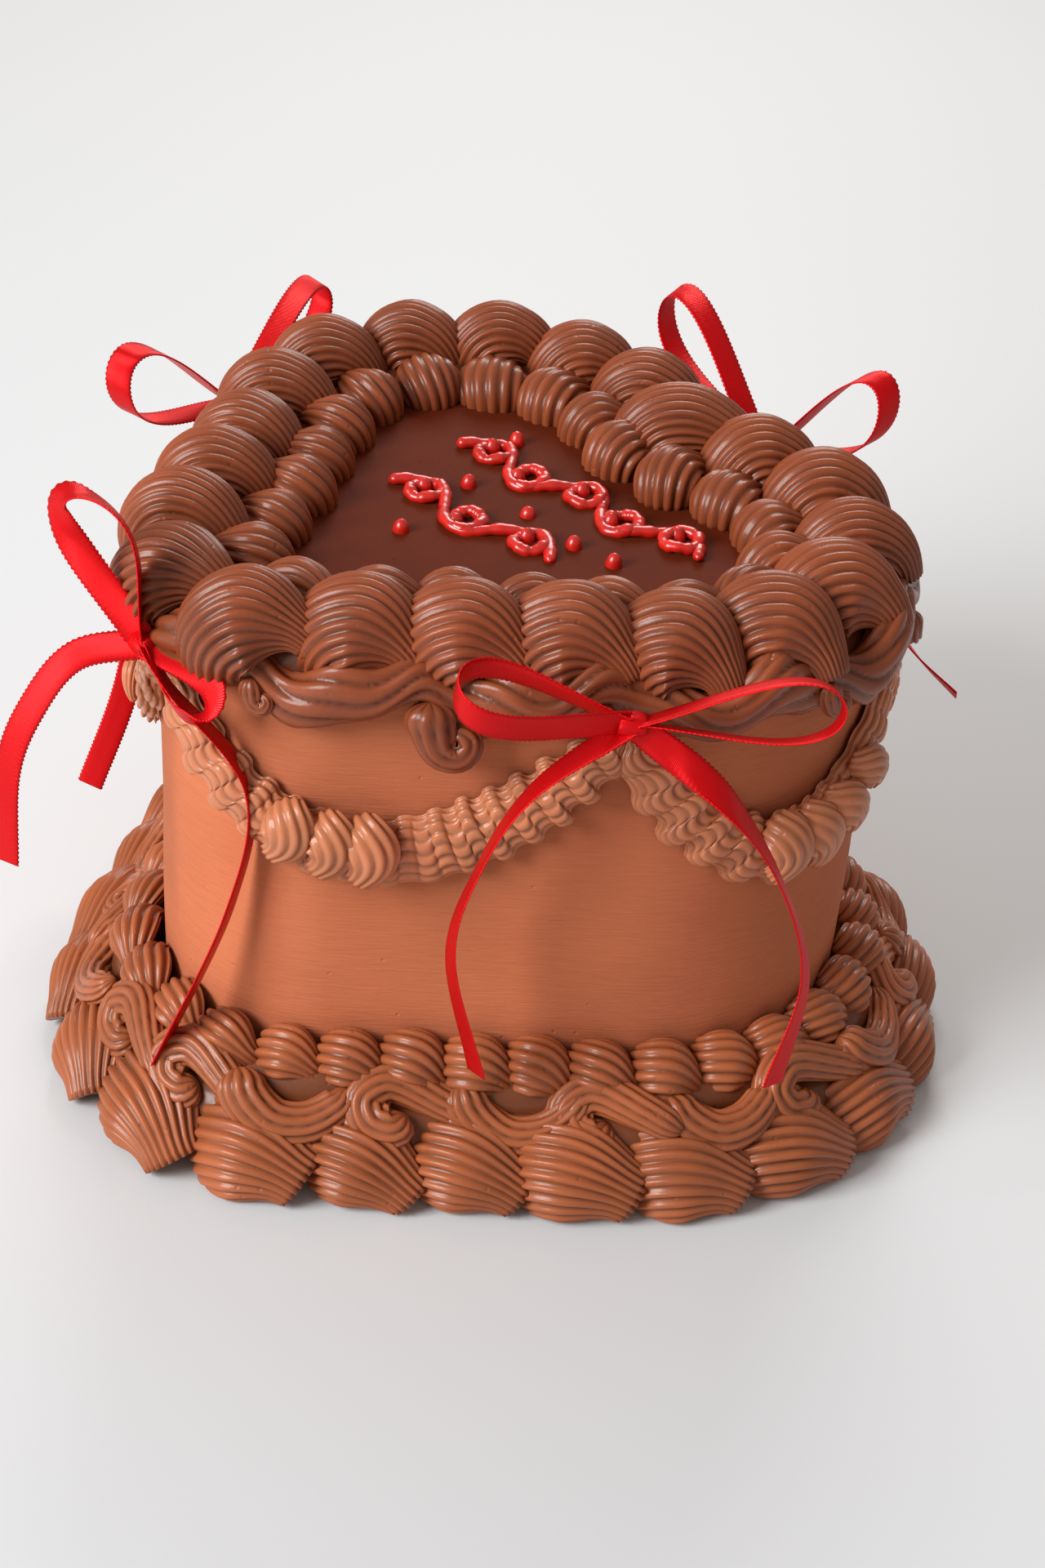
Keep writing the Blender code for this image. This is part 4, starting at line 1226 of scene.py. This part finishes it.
class HEARTCAKE_OT_bows(bpy.types.Operator):
    """Adds the four satin bows"""

    bl_idname = "heartcake.bows"
    bl_label = "Ribbon Bows"

    def execute(self, context):
        """Each bow is two loops and two tails that start in the knot, and a knot of ribbon round them. The
        knot is a tube whose radius swells by a quarter in its middle."""
        settings = context.scene.heart_cake
        wall, ribbon = HeartWall(settings.shape), settings.ribbon
        satin = satin_material("red_satin", settings.colours.ribbon)
        for name, (station, height, reach_out) in BOWS.items():
            origin = wall.place(station, reach_out, height)
            _, normal = wall.outline(station)
            basis = np.array([[-normal[1], normal[0], 0.0], [normal[0], normal[1], 0.0], [0.0, 0.0, 1.0]])
            strips = [(loop_path(reach, side, 400), faces) for reach, side, faces in LOOPS[name]]
            strips += [(spline(((0.0, 0.0, 0.0), *points), 400), faces) for points, faces in TAILS[name]]
            skin = Skin()
            for path, faces in strips:
                path, length = even_path(path, 400)
                path, _ = even_path(path, int(length / (ribbon.picot / MM) * 4.0))
                across = spline(faces, len(path)) @ basis
                grid, uv = ribbon_grid(origin + MM * path @ basis, across, ribbon)
                skin.add(grid, uv=uv)
            turn = np.linspace(0.0, 2.0 * np.pi, 41)[:-1]
            wide = np.linspace(-1.0, 1.0, 9)
            bulge = 1.0 + 0.25 * (1.0 - wide**2)
            out = (0.0024 * bulge)[None, :] * np.cos(turn)[:, None]
            up = (0.0021 * bulge)[None, :] * np.sin(turn)[:, None]
            local = np.stack(np.broadcast_arrays(0.0030 * wide[None, :], out, up), -1)
            uv = np.stack(np.broadcast_arrays(turn[:, None] * 2.4, 0.5 + 0.42 * wide[None, :]), -1)
            skin.add(np.swapaxes(origin + local @ basis, 0, 1), uv=np.swapaxes(uv, 0, 1))
            skin.build(name + "_ribbon", satin, "red_satin", name)
        return {"FINISHED"}


class HEARTCAKE_OT_stage(bpy.types.Operator):
    """Adds the pale floor, the soft lights, the world and the camera"""

    bl_idname = "heartcake.stage"
    bl_label = "Studio"

    def execute(self, context):
        """The camera looks down by 34 degrees at the heart's right side and leans by 4 degrees. A window
        lamp lights the point's side, a weaker lamp the far side, and a warm world fills the shade."""
        mesh = bpy.data.meshes.new("studio_floor")
        corners = [(x, y, -0.0004) for x, y in ((-4, -4), (4, -4), (4, 4), (-4, 4))]
        mesh.from_pydata(corners, [], [(0, 1, 2, 3)])
        floor = bpy.data.objects.new("studio_floor", mesh)
        context.scene.collection.objects.link(floor)
        made, _, shader, _ = start_material("pale_floor", 0.55)
        shader.inputs["Base Color"].default_value = (0.635, 0.645, 0.66, 1.0)
        mesh.materials.append(made)
        world = bpy.data.worlds.new("soft_room")
        world.use_nodes = True
        backdrop = world.node_tree.nodes["Background"]
        backdrop.inputs["Color"].default_value = (0.96, 0.88, 0.82, 1.0)
        backdrop.inputs["Strength"].default_value = 0.45
        context.scene.world = world
        for name, place, size, power, colour in LAMPS:
            light = bpy.data.lights.new(name, "AREA")
            light.size = size
            light.energy = power
            light.color = colour
            lamp = bpy.data.objects.new(name, light)
            lamp.location = place
            lamp.rotation_euler = (CAKE_MIDDLE - Vector(place)).to_track_quat("-Z", "Y").to_euler()
            context.scene.collection.objects.link(lamp)
        camera = bpy.data.objects.new("camera", bpy.data.cameras.new("camera"))
        camera.data.sensor_fit = "VERTICAL"
        camera.data.sensor_height = 36.0
        camera.data.lens = CAMERA_LENS
        heading = Matrix.Rotation(CAMERA_HEADING, 4, "Z")
        dip = Matrix.Rotation(0.5 * math.pi - CAMERA_DIP, 4, "X")
        lean = Matrix.Rotation(CAMERA_LEAN, 4, "Z")
        camera.matrix_world = Matrix.Translation(CAMERA_PLACE) @ heading @ dip @ lean
        context.scene.collection.objects.link(camera)
        context.scene.camera = camera
        context.scene.view_settings.view_transform = "Standard"
        return {"FINISHED"}


class HEARTCAKE_PT_panel(bpy.types.Panel):
    """The sidebar panel: one button for each piece, and the sizes and colours"""

    bl_idname = "HEARTCAKE_PT_panel"
    bl_label = "Heart Cake"
    bl_space_type = "VIEW_3D"
    bl_region_type = "UI"
    bl_category = "Heart Cake"

    def draw(self, context):
        """Buttons first, and then each group's values."""
        for step in STEPS:
            self.layout.operator(step.bl_idname)
        settings = context.scene.heart_cake
        for group in (settings.shape, settings.piping, settings.ribbon, settings.colours):
            box = self.layout.box()
            for name in group.__annotations__:
                box.prop(group, name)


STEPS = (
    HEARTCAKE_OT_coat,
    HEARTCAKE_OT_flourish,
    HEARTCAKE_OT_top_border,
    HEARTCAKE_OT_base_border,
    HEARTCAKE_OT_swags,
    HEARTCAKE_OT_bows,
    HEARTCAKE_OT_stage,
)
CLASSES = (CakeShape, PipingSizes, RibbonSizes, CakeColours, CakeSettings, *STEPS, HEARTCAKE_PT_panel)


def register():
    """Registers the classes and the settings."""
    for one in CLASSES:
        bpy.utils.register_class(one)
    bpy.types.Scene.heart_cake = PointerProperty(
        name="Heart Cake",
        description="Sizes and colours of the cake",
        type=CakeSettings,
    )


def unregister():
    """Removes the settings and the classes."""
    del bpy.types.Scene.heart_cake
    for one in reversed(CLASSES):
        bpy.utils.unregister_class(one)


def main():
    """Makes every piece in order."""
    register()
    for step in STEPS:
        group, name = step.bl_idname.split(".")
        getattr(getattr(bpy.ops, group), name)()


if __name__ == "__main__":
    main()
